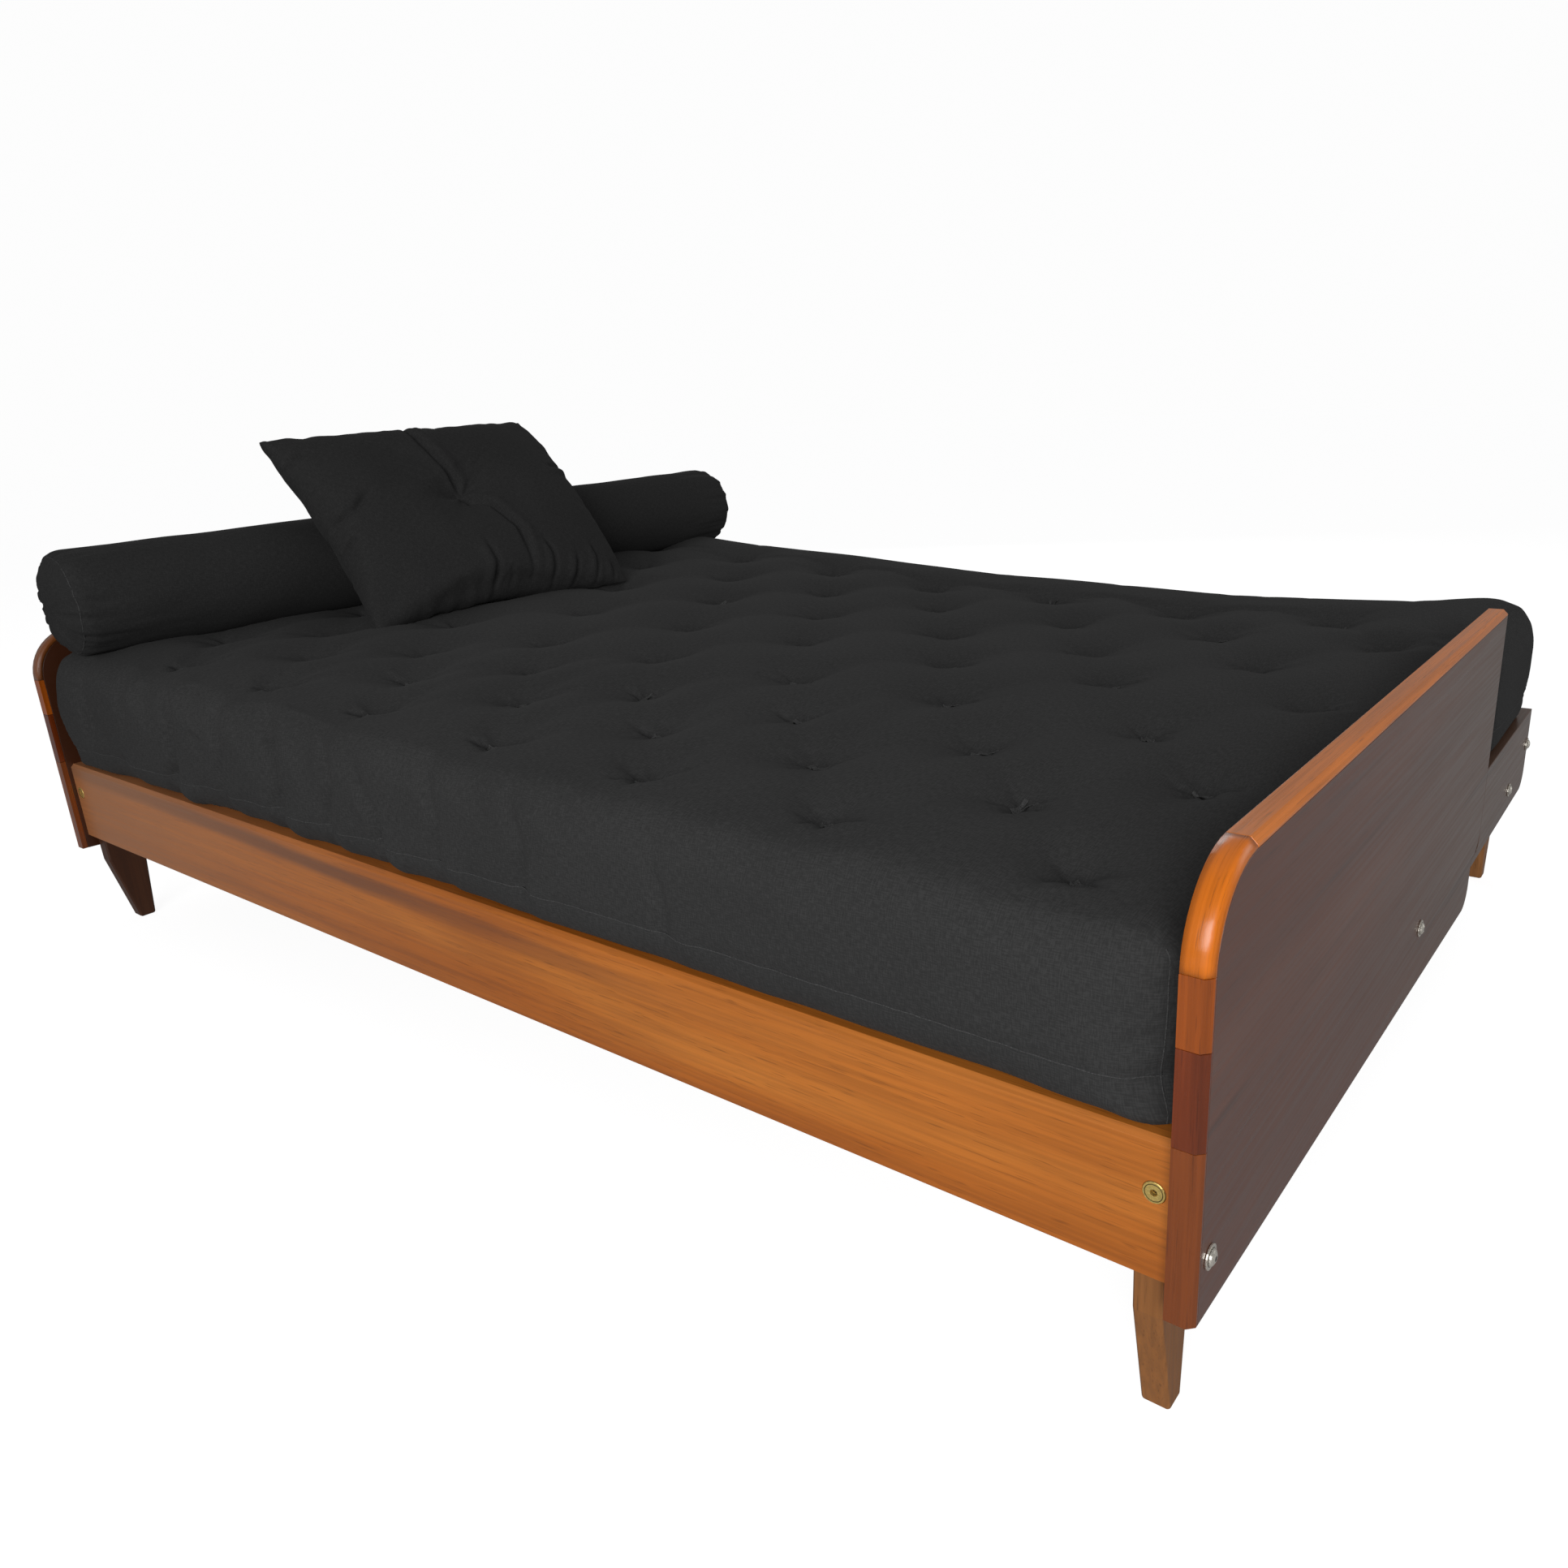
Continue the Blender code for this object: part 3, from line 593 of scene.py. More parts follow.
def fill(piece, stitched, pressure, limit, growth=0.0, frames=20):
    """Fills a sewn cover by cloth simulation; no point moves further than about limit."""
    before = points_of(piece)
    group = piece.vertex_groups.new(name="stitched")
    group.add([int(i) for i in stitched], 1.0, "REPLACE")
    cloth = piece.modifiers.new("filling", "CLOTH")
    cloth.settings.quality = 5
    cloth.settings.vertex_group_mass = "stitched"
    cloth.settings.use_pressure = True
    cloth.settings.uniform_pressure_force = pressure
    cloth.settings.shrink_min = -growth
    cloth.settings.effector_weights.gravity = 0
    scene = bpy.context.scene
    for number in range(1, frames + 1):
        scene.frame_set(number)
    evaluated = piece.evaluated_get(bpy.context.evaluated_depsgraph_get())
    flat = np.empty(len(evaluated.data.vertices) * 3)
    evaluated.data.vertices.foreach_get("co", flat)
    piece.modifiers.remove(cloth)
    piece.vertex_groups.remove(group)
    scene.frame_set(1)
    moved = flat.reshape(-1, 3) - before
    length = np.maximum(np.linalg.norm(moved, axis=1), 1e-9)
    after = before + moved * (limit * np.tanh(length / limit) / length)[:, None]
    set_points(piece, after)
    return before, after


def subdivide(piece):
    smoother = piece.modifiers.new("smoother", "SUBSURF")
    smoother.levels = smoother.render_levels = 1
    apply_modifiers(piece)


def press_under(piece, weights, box_low, box_high, gap=0.0012):
    """Pushes the piece's top down where what lies on it would sink in."""
    points = points_of(piece)
    inside = np.all(
        (points[:, :2] > np.array(box_low[:2])) & (points[:, :2] < np.array(box_high[:2])), axis=1
    )
    trees = [
        BVHTree.FromObject(weight, bpy.context.evaluated_depsgraph_get()) for weight in weights
    ]
    middle = (MATTRESS_LOW.z + MATTRESS_HIGH.z) / 2
    for index in np.nonzero(inside & (points[:, 2] > middle))[0]:
        x, y, z = points[index]
        for tree in trees:
            hit = tree.ray_cast(Vector((x, y, middle)), Vector((0, 0, 1)), 1.0)[0]
            if hit is not None and hit.z - gap < points[index, 2]:
                points[index, 2] = hit.z - gap
    set_points(piece, points)


def seam(name, path, body, closed=False, width=0.0013):
    """A line of stitching: a thin ridge half sunk in the cloth along a path."""
    curve = bpy.data.curves.new(name, "CURVE")
    curve.dimensions = "3D"
    curve.bevel_depth = width / 2
    curve.bevel_resolution = 1
    curve.use_fill_caps = not closed
    spline = curve.splines.new("POLY")
    spline.points.add(len(path) - 1)
    for point, place in zip(spline.points, path):
        point.co = (*place, 1)
    spline.use_cyclic_u = closed
    line = bare_object(name, curve)
    mesh = bpy.data.meshes.new_from_object(
        line.evaluated_get(bpy.context.evaluated_depsgraph_get())
    )
    bpy.data.objects.remove(line, do_unlink=True)
    piece = bare_object(name, mesh)
    mesh.materials.clear()
    mesh.materials.append(THREAD)
    shade_smooth(piece)
    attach(piece, body)


def follow(piece, places, count=4, sink=0.0):
    """Where places on the sewn shape have come to lie on the filled one."""
    sewn, points, normals = sewn_of(piece), points_of(piece), normals_of(piece)
    tree = KDTree(len(sewn))
    for index, place in enumerate(sewn):
        tree.insert(place, index)
    tree.balance()
    path = []
    for place in places:
        found = tree.find_n(place, count)
        weights = np.array([1 / (0.001 + item[2]) for item in found])
        ids = [item[1] for item in found]
        weights = (weights / weights.sum())[:, None]
        path.append((points[ids] * weights).sum(0) - sink * (normals[ids] * weights).sum(0))
    path = np.array(path)
    path[1:-1] = path[1:-1] * 0.5 + (path[:-2] + path[2:]) * 0.25
    return path


# ---- mattress ----
def tuft_places():
    """The tufts' X and Y: staggered rows."""
    places = []
    for number, row in enumerate(TUFT_ROWS):
        x = TUFT_FIRST[number % 2]
        while x > MATTRESS_LOW.x + 0.08:
            # hand-stitched, so each one is a little off its row
            wobble = noise.noise_vector(Vector((x * 9, row * 9, 2.0))) * 0.014
            places.append((x + wobble.x, FRONT + row + wobble.y))
            x -= TUFT_PITCH
    return np.array(places)


def tuft_relief(x, y, tufts):
    """How far the stitching pulls the cover in, and the valleys between neighbours."""
    relief = np.zeros(len(x))
    for tx, ty in tufts:
        distance = np.hypot(x - tx, y - ty)
        near = np.clip(1 - distance / TUFT_REACH, 0, 1)
        relief = np.maximum(relief, TUFT_DEPTH * near**2)
    valleys = np.zeros(len(x))
    for i, first in enumerate(tufts):
        for second in tufts[i + 1:]:
            line = second - first
            length = np.hypot(*line)
            if length > 0.27 or abs(line[1]) < 0.02:
                continue
            t = np.clip(((x - first[0]) * line[0] + (y - first[1]) * line[1]) / length**2, 0, 1)
            aside = np.hypot(x - first[0] - t * line[0], y - first[1] - t * line[1])
            depth = 0.0065 * (0.35 + 0.65 * np.abs(2 * t - 1))
            valleys = np.maximum(valleys, depth * np.exp(-((aside / 0.020) ** 2)))
    return relief + valleys


def tie_heading(x, y):
    """Which way the tape ends point at a tuft."""
    return noise.noise(Vector((x * 5, y * 5, 7.0))) * 2.2


def tuft_folds(x, y, tufts):
    """Short pleats that run into each tuft."""
    folds = np.zeros(len(x))
    for number, (tx, ty) in enumerate(tufts):
        distance = np.hypot(x - tx, y - ty)
        near = distance < 0.075
        angle = np.arctan2(y[near] - ty, x[near] - tx)
        d = distance[near]
        phase = number * 2.399
        count = 4 + number % 3
        ripple = np.cos(count * angle + phase) + 0.5 * np.cos((count + 3) * angle - 2 * phase)
        folds[near] += 0.0038 * ripple * smooth(0.0, 0.014, d) * np.exp(-d / 0.026)
        heading = tie_heading(tx, ty) + 0.4
        run = d * np.cos(angle - heading)
        aside = d * np.sin(angle - heading)
        folds[near] -= 0.0055 * np.exp(-((run / 0.030) ** 2) - (aside / 0.0055) ** 2)
    return folds


def crease(places, line, depth, width):
    """A pinched line with a low roll beside it, fading towards its ends."""
    best = np.full(len(places), np.inf)
    aside = np.zeros(len(places))
    along = np.zeros(len(places))
    for number, (first, second) in enumerate(zip(line, line[1:])):
        run = second - first
        length = np.hypot(*run)
        t = np.clip(((places - first) @ run) / length**2, 0, 1)
        away = places - first - t[:, None] * run
        distance = np.hypot(*away.T)
        nearer = distance < best
        best = np.where(nearer, distance, best)
        turn = (run[0] * away[:, 1] - run[1] * away[:, 0]) / length
        aside = np.where(nearer, turn, aside)
        along = np.where(nearer, (number + t) / (len(line) - 1), along)
    fade = np.clip(1.4 * np.sin(np.pi * np.clip(along, 0.06, 0.94)), 0, 1)
    groove = -np.exp(-((best / (width * 0.55)) ** 2))
    roll = 0.55 * np.exp(-(((aside - width * 1.5) / width) ** 2)) * (best < width * 4)
    return 0.8 * depth * fade * (groove + roll)


# upright folds in the front's cloth: depth, width, and a path of (X, height above the slats)
FRONT_FOLDS = (
    (0.009, 0.020, ((-0.86, 0.175), (-0.84, 0.110), (-0.85, 0.030))),
    (0.011, 0.022, ((-0.72, 0.180), (-0.70, 0.120), (-0.73, 0.050))),
    (0.014, 0.024, ((-0.60, 0.185), (-0.55, 0.130), (-0.56, 0.060), (-0.60, 0.015))),
    (0.012, 0.022, ((-0.44, 0.180), (-0.41, 0.110), (-0.44, 0.030))),
    (0.015, 0.026, ((-0.33, 0.185), (-0.28, 0.130), (-0.27, 0.070), (-0.30, 0.015))),
    (0.012, 0.022, ((-0.17, 0.170), (-0.14, 0.100), (-0.17, 0.020))),
    (0.014, 0.022, ((-0.07, 0.130), (-0.04, 0.070), (-0.05, 0.012))),
    (0.009, 0.020, ((0.06, 0.165), (0.09, 0.100), (0.07, 0.020))),
    (0.008, 0.020, ((0.22, 0.150), (0.24, 0.090), (0.22, 0.025))),
    (0.005, 0.020, ((0.44, 0.120), (0.45, 0.070), (0.44, 0.030))),
)


def make_mattress():
    piece = soft_copy("mattress", "mattress_cover", 0.0100)
    sewn = points_of(piece)
    lay_cloth_boxed(piece, sewn)
    normals = normals_of(piece)
    x, y, z = sewn.T.copy()
    tufts = tuft_places()
    top = smooth(0.35, 0.9, normals[:, 2])
    bottom = smooth(0.35, 0.9, -normals[:, 2])
    relief = -tuft_relief(x, y, tufts)
    relief += 0.006 * waves(np.column_stack((x, y, 0 * x)), 2.6, 1.0)
    rearward = smooth(FRONT + 0.35, FRONT + 1.30, y)
    relief += rearward * np.interp(x, *zip(*REAR_RELIEF))
    # the stuffing stands a little higher over the left half
    relief += 0.012 * smooth(-0.1, -0.55, x) * (1 - rearward) * 0.8
    upper = smooth(MATTRESS_LOW.z + 0.08, MATTRESS_LOW.z + 0.17, z) * (1 - top) * (1 - bottom)
    z += top * relief + upper * np.maximum(relief, -0.004) * 0.9
    # the sides bulge, and soft upright rolls run down the front
    height = (z - MATTRESS_LOW.z) / (MATTRESS_HIGH.z - 0.02 - MATTRESS_LOW.z)
    bulge = np.clip(1 - (2 * height - 1) ** 2, 0, 1)
    rolls = waves(np.column_stack((x + 0.5 * z, 0 * x, z * 0.3)), 8.5, 3.0)
    strength = 0.20 + 0.80 * smooth(0.50, -0.20, x)
    front = smooth(0.1, 0.7, -normals[:, 1])
    rear = smooth(0.4, 0.9, normals[:, 1])
    side = smooth(0.4, 0.9, np.abs(normals[:, 0]))
    y -= front * (0.008 * bulge + 0.017 * rolls * strength * smooth(-0.1, 0.5, height))
    y += rear * 0.006 * bulge
    x += side * np.sign(x) * 0.008 * bulge
    # the front lower edge rolls under, most of all along the left half
    # and the rest of that edge stands square over the rail
    rolled = 0.013 * smooth(0.35, -0.35, x) * smooth(-0.96, -0.75, x)
    rolled += 0.004 * waves(np.column_stack((x, 0 * x, 0 * x)), 9.0, 6.0)
    reach = np.hypot(sewn[:, 1] - MATTRESS_LOW.y, sewn[:, 2] - MATTRESS_LOW.z)
    squared = np.exp(-((reach / 0.020) ** 2))
    y += squared * (rolled - 0.009)
    z -= squared * 0.014
    reach = np.hypot(np.abs(sewn[:, 0]) - MATTRESS_HIGH.x, sewn[:, 2] - MATTRESS_LOW.z)
    squared = np.exp(-((reach / 0.026) ** 2))
    x += np.sign(x) * squared * 0.016
    z -= squared * 0.022
    # behind the end panels nothing holds the sides in
    free = side * smooth(PANEL_REAR + 0.005, PANEL_REAR + 0.07, y)
    x += np.sign(x) * free * 0.026 * np.maximum(bulge, 0.6)
    corner = np.exp(-((np.hypot(x - MATTRESS_HIGH.x, y - MATTRESS_HIGH.y) / 0.09) ** 2))
    z += corner * 0.010 * smooth(0.4, 0.9, height)
    shaped = np.column_stack((x, y, z))
    set_points(piece, shaped)
    stitched = np.zeros(len(x), bool)
    for tx, ty in tufts:
        stitched |= (np.hypot(sewn[:, 0] - tx, sewn[:, 1] - ty) < 0.011) & (top > 0.5)
    stitched |= bottom > 0.5
    fill(piece, np.nonzero(stitched)[0], 4.0, 0.010)
    subdivide(piece)

    # fine work on the finer mesh: pleats at the tufts, puckers and a groove along the seams
    points, normals, sewn = points_of(piece), normals_of(piece), sewn_of(piece)
    top = smooth(0.3, 0.8, normals[:, 2]) * (sewn[:, 2] > MATTRESS_LOW.z + 0.1)
    out = top * tuft_folds(sewn[:, 0], sewn[:, 1], tufts)
    facing = smooth(0.10, 0.75, -normals[:, 1])
    for depth, width, path in FRONT_FOLDS:
        place = np.column_stack((sewn[:, 0], sewn[:, 2] - MATTRESS_LOW.z))
        out += facing * crease(place, np.array(path), depth * 1.6, width)
    level = sewn[:, 2] - MATTRESS_LOW.z - SEAM_HEIGHT
    edge = 1 - np.abs(normals[:, 2])
    run = sewn[:, 0] + sewn[:, 1]
    pucker = waves(np.column_stack((run * 1.0, 0 * run, 0 * run)), 55.0, 5.0, 1)
    near_seam = np.exp(-((level / 0.016) ** 2))
    out += edge * (0.0014 * pucker * near_seam - 0.0020 * np.exp(-((level / 0.005) ** 2)))
    corner = np.minimum.reduce([
        np.hypot(sewn[:, 0] - cx, sewn[:, 1] - cy)
        for cx in (MATTRESS_LOW.x + 0.009, MATTRESS_HIGH.x - 0.009)
        for cy in (MATTRESS_LOW.y + 0.009, MATTRESS_HIGH.y - 0.009)
    ])
    lift = waves(np.column_stack((0 * run, 0 * run, sewn[:, 2])), 60.0, 8.0, 1)
    out += edge * (0.0018 * lift * np.exp(-((corner / 0.03) ** 2)))
    out -= edge * 0.0022 * np.exp(-((corner / 0.006) ** 2))
    points += normals * out[:, None]
    # it fits between the end panels, and lies flat on the slats
    limit = np.where(points[:, 1] < PANEL_REAR + 0.01, PANEL_IN - 0.0012, PANEL_IN + 0.020)
    points[:, 0] = np.clip(points[:, 0], -limit, limit)
    points[:, 2] = np.maximum(points[:, 2], RAIL_TOP + 0.0006)
    points[:, 1] = np.maximum(points[:, 1], FRONT - 0.006)
    stop_y, stop_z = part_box("mattress_stop")[0].y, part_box("mattress_stop")[1].z
    low = points[:, 2] < stop_z + 0.004
    points[low, 1] = np.minimum(points[low, 1], stop_y - 0.001)
    set_points(piece, points)
    return piece, tufts


def mattress_seams(piece):
    """The seam round the sides and the upright seams at the corners."""
    low, high = MATTRESS_LOW, MATTRESS_HIGH
    inset = 0.009
    level = low.z + SEAM_HEIGHT
    step = 0.006
    xs = np.arange(low.x + inset, high.x - inset, step)
    ys = np.arange(low.y + inset, high.y - inset, step)
    ring = [(x, low.y, level) for x in xs] + [(high.x, y, level) for y in ys]
    ring += [(x, high.y, level) for x in xs[::-1]] + [(low.x, y, level) for y in ys[::-1]]
    seam("mattress_side_seam", follow(piece, ring), "mattress", closed=True)
    for side, x in (("left", low.x + inset), ("right", high.x - inset)):
        for end, y in (("front", low.y + inset), ("rear", high.y - inset)):
            z_top = high.z - 0.02 if side == "left" else high.z - 0.055
            line = [(x, y, z) for z in np.arange(low.z + 0.012, z_top, step)]
            seam(f"mattress_{end}_{side}_corner_seam", follow(piece, line), "mattress")


def make_ties(piece, tufts):
    """Tape ends tied at each tuft: two short flat tails."""
    tree = BVHTree.FromObject(piece, bpy.context.evaluated_depsgraph_get())
    bpy.ops.mesh.primitive_cube_add(size=1, location=(0.5, 0, 0))
    tail = bpy.context.object
    tail.name = tail.data.name = "tape_tail"
    bpy.ops.object.mode_set(mode="EDIT")
    bpy.ops.mesh.select_all(action="SELECT")
    bpy.ops.mesh.subdivide(number_cuts=5)
    bpy.ops.object.mode_set(mode="OBJECT")
    bpy.ops.object.transform_apply(location=True, rotation=True, scale=True)
    tail.select_set(False)
    strip = points_of(tail)
    copies = []
    for tx, ty in tufts:
        for number, spread in enumerate((-0.16, 0.16)):
            angle = tie_heading(tx, ty) + spread
            along = np.array((math.cos(angle), math.sin(angle), 0))
            across = np.array((-along[1], along[0], 0))
            length = 0.030 + 0.008 * noise.noise(Vector((tx * 31, ty * 31, number)))
            t = strip[:, 0]
            offset = (0.0035 if number else -0.0035) * (0.3 + t)
            places = np.array((tx, ty, 0)) + np.outer(length * (t - 0.35), along)
            places += np.outer(offset + strip[:, 1] * 0.0044, across)
            for index, place in enumerate(places):
                above = Vector((place[0], place[1], 1.0))
                ground = tree.ray_cast(above, Vector((0, 0, -1)))[0]
                lift = 0.0010 + 0.0030 * math.sin(math.pi * min(1, t[index] * 1.15))
                place[2] = ground.z + lift + strip[index, 2] * 0.0010
            copy = tail.data.copy()
            copy.vertices.foreach_set("co", places.ravel())
            copies.append(bare_object("tape_end", copy))
    bpy.data.objects.remove(tail, do_unlink=True)
    bpy.ops.object.select_all(action="DESELECT")
    for copy in copies:
        copy.select_set(True)
    bpy.context.view_layer.objects.active = copies[0]
    bpy.ops.object.join()
    ties = copies[0]
    ties.select_set(False)
    ties.name = ties.data.name = "mattress_tuft_ties"
    if ties.data.uv_layers:
        ties.data.uv_layers.remove(ties.data.uv_layers[0])
    ties.data.materials.clear()
    ties.data.materials.append(TAPE)
    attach(ties, "mattress")


# ---- bolster ----
def bolster_frame():
    """The bolster's axis start, its length and its own directions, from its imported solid."""
    points = np.array([v.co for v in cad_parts["bolster"].data.vertices])
    near = points[points[:, 1] < points[:, 1].min() + 0.02]
    far = points[points[:, 1] > points[:, 1].max() - 0.02]
    start, end = near.mean(0), far.mean(0)
    middle = points.mean(0)
    centred = points - middle
    values, vectors = np.linalg.eigh(centred.T @ centred)
    along = vectors[:, -1] * np.sign(vectors[1, -1])
    reach = centred @ along
    return Vector(middle), Vector(along), float(reach.max()), start, end


def make_bolster():
    piece = soft_copy("bolster", "bolster_cover", 0.0065)
    middle, along, half, _, _ = bolster_frame()
    aside = along.cross(Vector((0, 0, 1))).normalized()
    rise = aside.cross(along).normalized()
    basis = np.array((along, aside, rise))
    local = (points_of(piece) - np.array(middle)) @ basis.T
    s, a, b = local.T
    radius = np.hypot(a, b)
    angle = np.arctan2(b, a)
    vertex, face = corner_table(piece)
    # threads run along and round; the ends are discs
    first = np.zeros(len(piece.data.polygons), int)
    first[face[::-1]] = vertex[::-1]
    turn = angle[vertex]
    turn = turn - 2 * np.pi * np.round((turn - angle[first][face]) / (2 * np.pi))
    on_end = (half - np.abs(s[vertex])) < 0.004
    u = np.where(on_end, a[vertex], s[vertex])
    v = np.where(on_end, b[vertex], turn * radius.max())
    lay_cloth(piece, np.column_stack((u, v)))
    full = radius.max()
    to_end = half - np.abs(s)
    # slack and lumps along the length, domed ends with pleats run in to the end seam
    slack = 0.0030 * waves(np.column_stack((s * 1.0, np.cos(angle) * 0.2, np.sin(angle) * 0.2)), 6, 11.0)
    pleats = 0.5 * np.cos(11 * angle + 1.0 + np.sign(s)) + 0.5 * np.cos(17 * angle + 3 * np.sign(s))
    near_end = np.exp(-((to_end / 0.035) ** 2)) * smooth(0.02, full * 0.8, radius)
    change = slack * smooth(0.0, 0.05, to_end) - 0.0030 * near_end * np.abs(pleats)
    outward = np.column_stack((0 * s, np.cos(angle), np.sin(angle)))
    moved = local + outward * (change * (radius / full))[:, None]
    cap = 1 - (radius / full) ** 2
    moved[:, 0] += np.sign(s) * (to_end < 0.004) * (0.010 * cap - 0.004)
    set_points(piece, moved @ basis + np.array(middle))
    fill(piece, [], 3.0, 0.004, frames=14)
    subdivide(piece)
    points, sewn = points_of(piece), sewn_of(piece)
    normals = normals_of(piece)
    local = (sewn - np.array(middle)) @ basis.T
    s, a, b = local.T
    radius, angle = np.hypot(a, b), np.arctan2(b, a)
    rim = np.exp(-(((half - np.abs(s)) / 0.005) ** 2)) * smooth(0.5 * full, 0.95 * full, radius)
    gathers = waves(np.column_stack((np.cos(angle), np.sin(angle), np.sign(s))), 7.0, 4.0, 1)
    fade = np.exp(-((half - np.abs(s)) / 0.022)) * smooth(0.3 * full, full, radius)
    dents = waves(np.column_stack((s * 1.6, np.cos(angle), np.sin(angle))), 4.2, 9.0)
    points += normals * (-0.0030 * rim + 0.0050 * gathers * fade)[:, None]
    points += normals * (0.0055 * np.minimum(dents, 0.2) * np.exp(-((half - np.abs(s)) / 0.10)))[
        :, None
    ]
    keep = PANEL_IN - 0.0015
    over_panel = (points[:, 2] < PANEL_TOP + 0.004)
    points[over_panel, 0] = np.maximum(points[over_panel, 0], -keep)
    set_points(piece, points)
    # the end seams
    for name, sign in (("front", -1), ("rear", 1)):
        ring = []
        for turn in np.linspace(0, 2 * math.pi, 96, endpoint=False):
            spot = basis.T @ np.array(
                (sign * (half - 0.006), math.cos(turn) * full, math.sin(turn) * full)
            )
            ring.append(spot + np.array(middle))
        seam(f"bolster_{name}_seam", follow(piece, ring), "bolster", closed=True)
    return piece


# ---- cushion ----
def cushion_frame():
    """The cushion's middle and its own directions across, up and out, from its solid."""
    points = np.array([v.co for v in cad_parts["cushion"].data.vertices])
    middle = (np.unique(points.round(5), axis=0)).mean(0)
    centred = points - middle
    _, vectors = np.linalg.eigh(centred.T @ centred)
    across = vectors[:, 2] * np.sign(vectors[1, 2])
    up = vectors[:, 1] * np.sign(vectors[2, 1])
    out = np.cross(across, up)
    if out[0] < 0:
        out = -out
    size = [np.abs(centred @ axis).max() for axis in (across, up, out)]
    return middle, across, up, out, size


# creases on the cushion's front: depth, width and a path in fractions of its half sizes
CUSHION_CREASES = (
    (0.0120, 0.011, ((-0.10, 0.97), (-0.06, 0.60), (0.02, 0.28), (0.03, 0.05))),
    (0.0110, 0.010, ((0.04, 0.03), (0.17, -0.10), (0.23, -0.42), (0.20, -0.90))),
    (0.0070, 0.009, ((-0.99, 0.62), (-0.80, 0.70))),
    (0.0090, 0.010, ((-0.99, -0.05), (-0.76, 0.02), (-0.62, 0.14))),
    (0.0070, 0.008, ((-0.99, -0.28), (-0.84, -0.20))),
    (0.0080, 0.009, ((-0.12, -0.98), (-0.06, -0.72), (-0.07, -0.50))),
    (0.0080, 0.009, ((0.36, -0.98), (0.40, -0.70), (0.37, -0.55))),
    (0.0080, 0.008, ((0.54, -0.98), (0.60, -0.74))),
    (0.0070, 0.008, ((0.72, -0.98), (0.78, -0.76), (0.77, -0.62))),
    (0.0060, 0.008, ((0.88, -0.97), (0.91, -0.80))),
    (0.0060, 0.009, ((0.99, 0.30), (0.82, 0.26))),
)


def make_cushion():
    """Two panels of cotton sewn round the edge, filled, and tied through the middle."""
    middle, across, up, out, (half_width, half_height, _) = cushion_frame()
    wide, high = half_width * 1.03, half_height * 1.035
    bpy.ops.mesh.primitive_grid_add(
        x_subdivisions=115, y_subdivisions=91, size=2, location=(0, 0, 0)
    )
    piece = bpy.context.object
    piece.name = piece.data.name = "cushion_cover"
    bpy.ops.object.mode_set(mode="EDIT")
    bpy.ops.mesh.select_all(action="SELECT")
    bpy.ops.mesh.duplicate_move(TRANSFORM_OT_translate={"value": (0, 0, -1)})
    bpy.ops.object.mode_set(mode="OBJECT")
    u, v, panel = points_of(piece).T
    face_side = np.where(panel > -0.5, 1, -1)
    # the sides pull in a little between the corners
    crown = 0.060 * (np.clip(1 - u**2, 0, 1) * np.clip(1 - v**2, 0, 1)) ** 0.5
    flat_x = u * wide * (1 - 0.020 * (1 - v**2))
    flat_y = v * high * (1 - 0.020 * (1 - u**2))
    local = np.column_stack((flat_x, flat_y, crown * face_side))
    keep_sewn(piece, local)
    set_points(piece, local @ np.array((across, up, out)) + middle)
    bpy.ops.object.mode_set(mode="EDIT")
    bpy.ops.mesh.select_all(action="SELECT")
    bpy.ops.mesh.remove_doubles(threshold=0.00002)
    bpy.ops.mesh.normals_make_consistent(inside=False)
    bpy.ops.object.mode_set(mode="OBJECT")
    piece.select_set(False)
    local = sewn_of(piece)
    vertex, _ = corner_table(piece)
    if piece.data.uv_layers:
        piece.data.uv_layers.remove(piece.data.uv_layers[0])
    lay_cloth(piece, local[vertex][:, :2])
    # the tie through the middle
    spot = np.hypot(local[:, 0] - 0.01, local[:, 1] - 0.015)
    corners = (np.abs(local[:, 0]) > wide * 0.965) & (np.abs(local[:, 1]) > high * 0.965)
    tied = (spot < 0.008) | corners
    points = points_of(piece)
    pulled = 0.030 * np.exp(-((spot / 0.045) ** 2)) * np.sign(local[:, 2])
    points -= np.outer(pulled, out)
    set_points(piece, points)
    fill(piece, np.nonzero(tied)[0], 8.0, 0.022, growth=0.02, frames=20)
    subdivide(piece)
    points, sewn, normals = points_of(piece), sewn_of(piece), normals_of(piece)
    # pleats that run in from the edge seam and to the tie
    reach_u = 1 - np.abs(sewn[:, 0]) / wide
    reach_v = 1 - np.abs(sewn[:, 1]) / high
    edge_u, edge_v = reach_u * wide, reach_v * high
    gather = waves(np.column_stack((sewn[:, 0], 0 * sewn[:, 0], np.sign(sewn[:, 1]))), 42, 2.0, 1)
    gather_side = waves(np.column_stack((sewn[:, 1], np.sign(sewn[:, 0]), 0 * edge_u)), 42, 6.0, 1)
    out_by = 0.0045 * gather * np.exp(-edge_v / 0.030) * smooth(0.0, 0.008, edge_v)
    out_by += 0.0040 * gather_side * np.exp(-edge_u / 0.028) * smooth(0.0, 0.008, edge_u)
    distance = np.hypot(sewn[:, 0] - 0.01, sewn[:, 1] - 0.015)
    angle = np.arctan2(sewn[:, 1] - 0.015, sewn[:, 0] - 0.01)
    rays = np.cos(3 * angle + 0.9) + 0.6 * np.cos(7 * angle - 0.4)
    out_by += 0.0050 * rays * smooth(0.0, 0.02, distance) * np.exp(-distance / 0.045)
    in_front = sewn[:, 2] > -1e-6
    for depth, width, path in CUSHION_CREASES:
        line = np.array(path) * (wide, high)
        out_by += in_front * crease(sewn[:, :2], line, depth, width)
    points += normals * out_by[:, None]
    set_points(piece, points)
    return piece


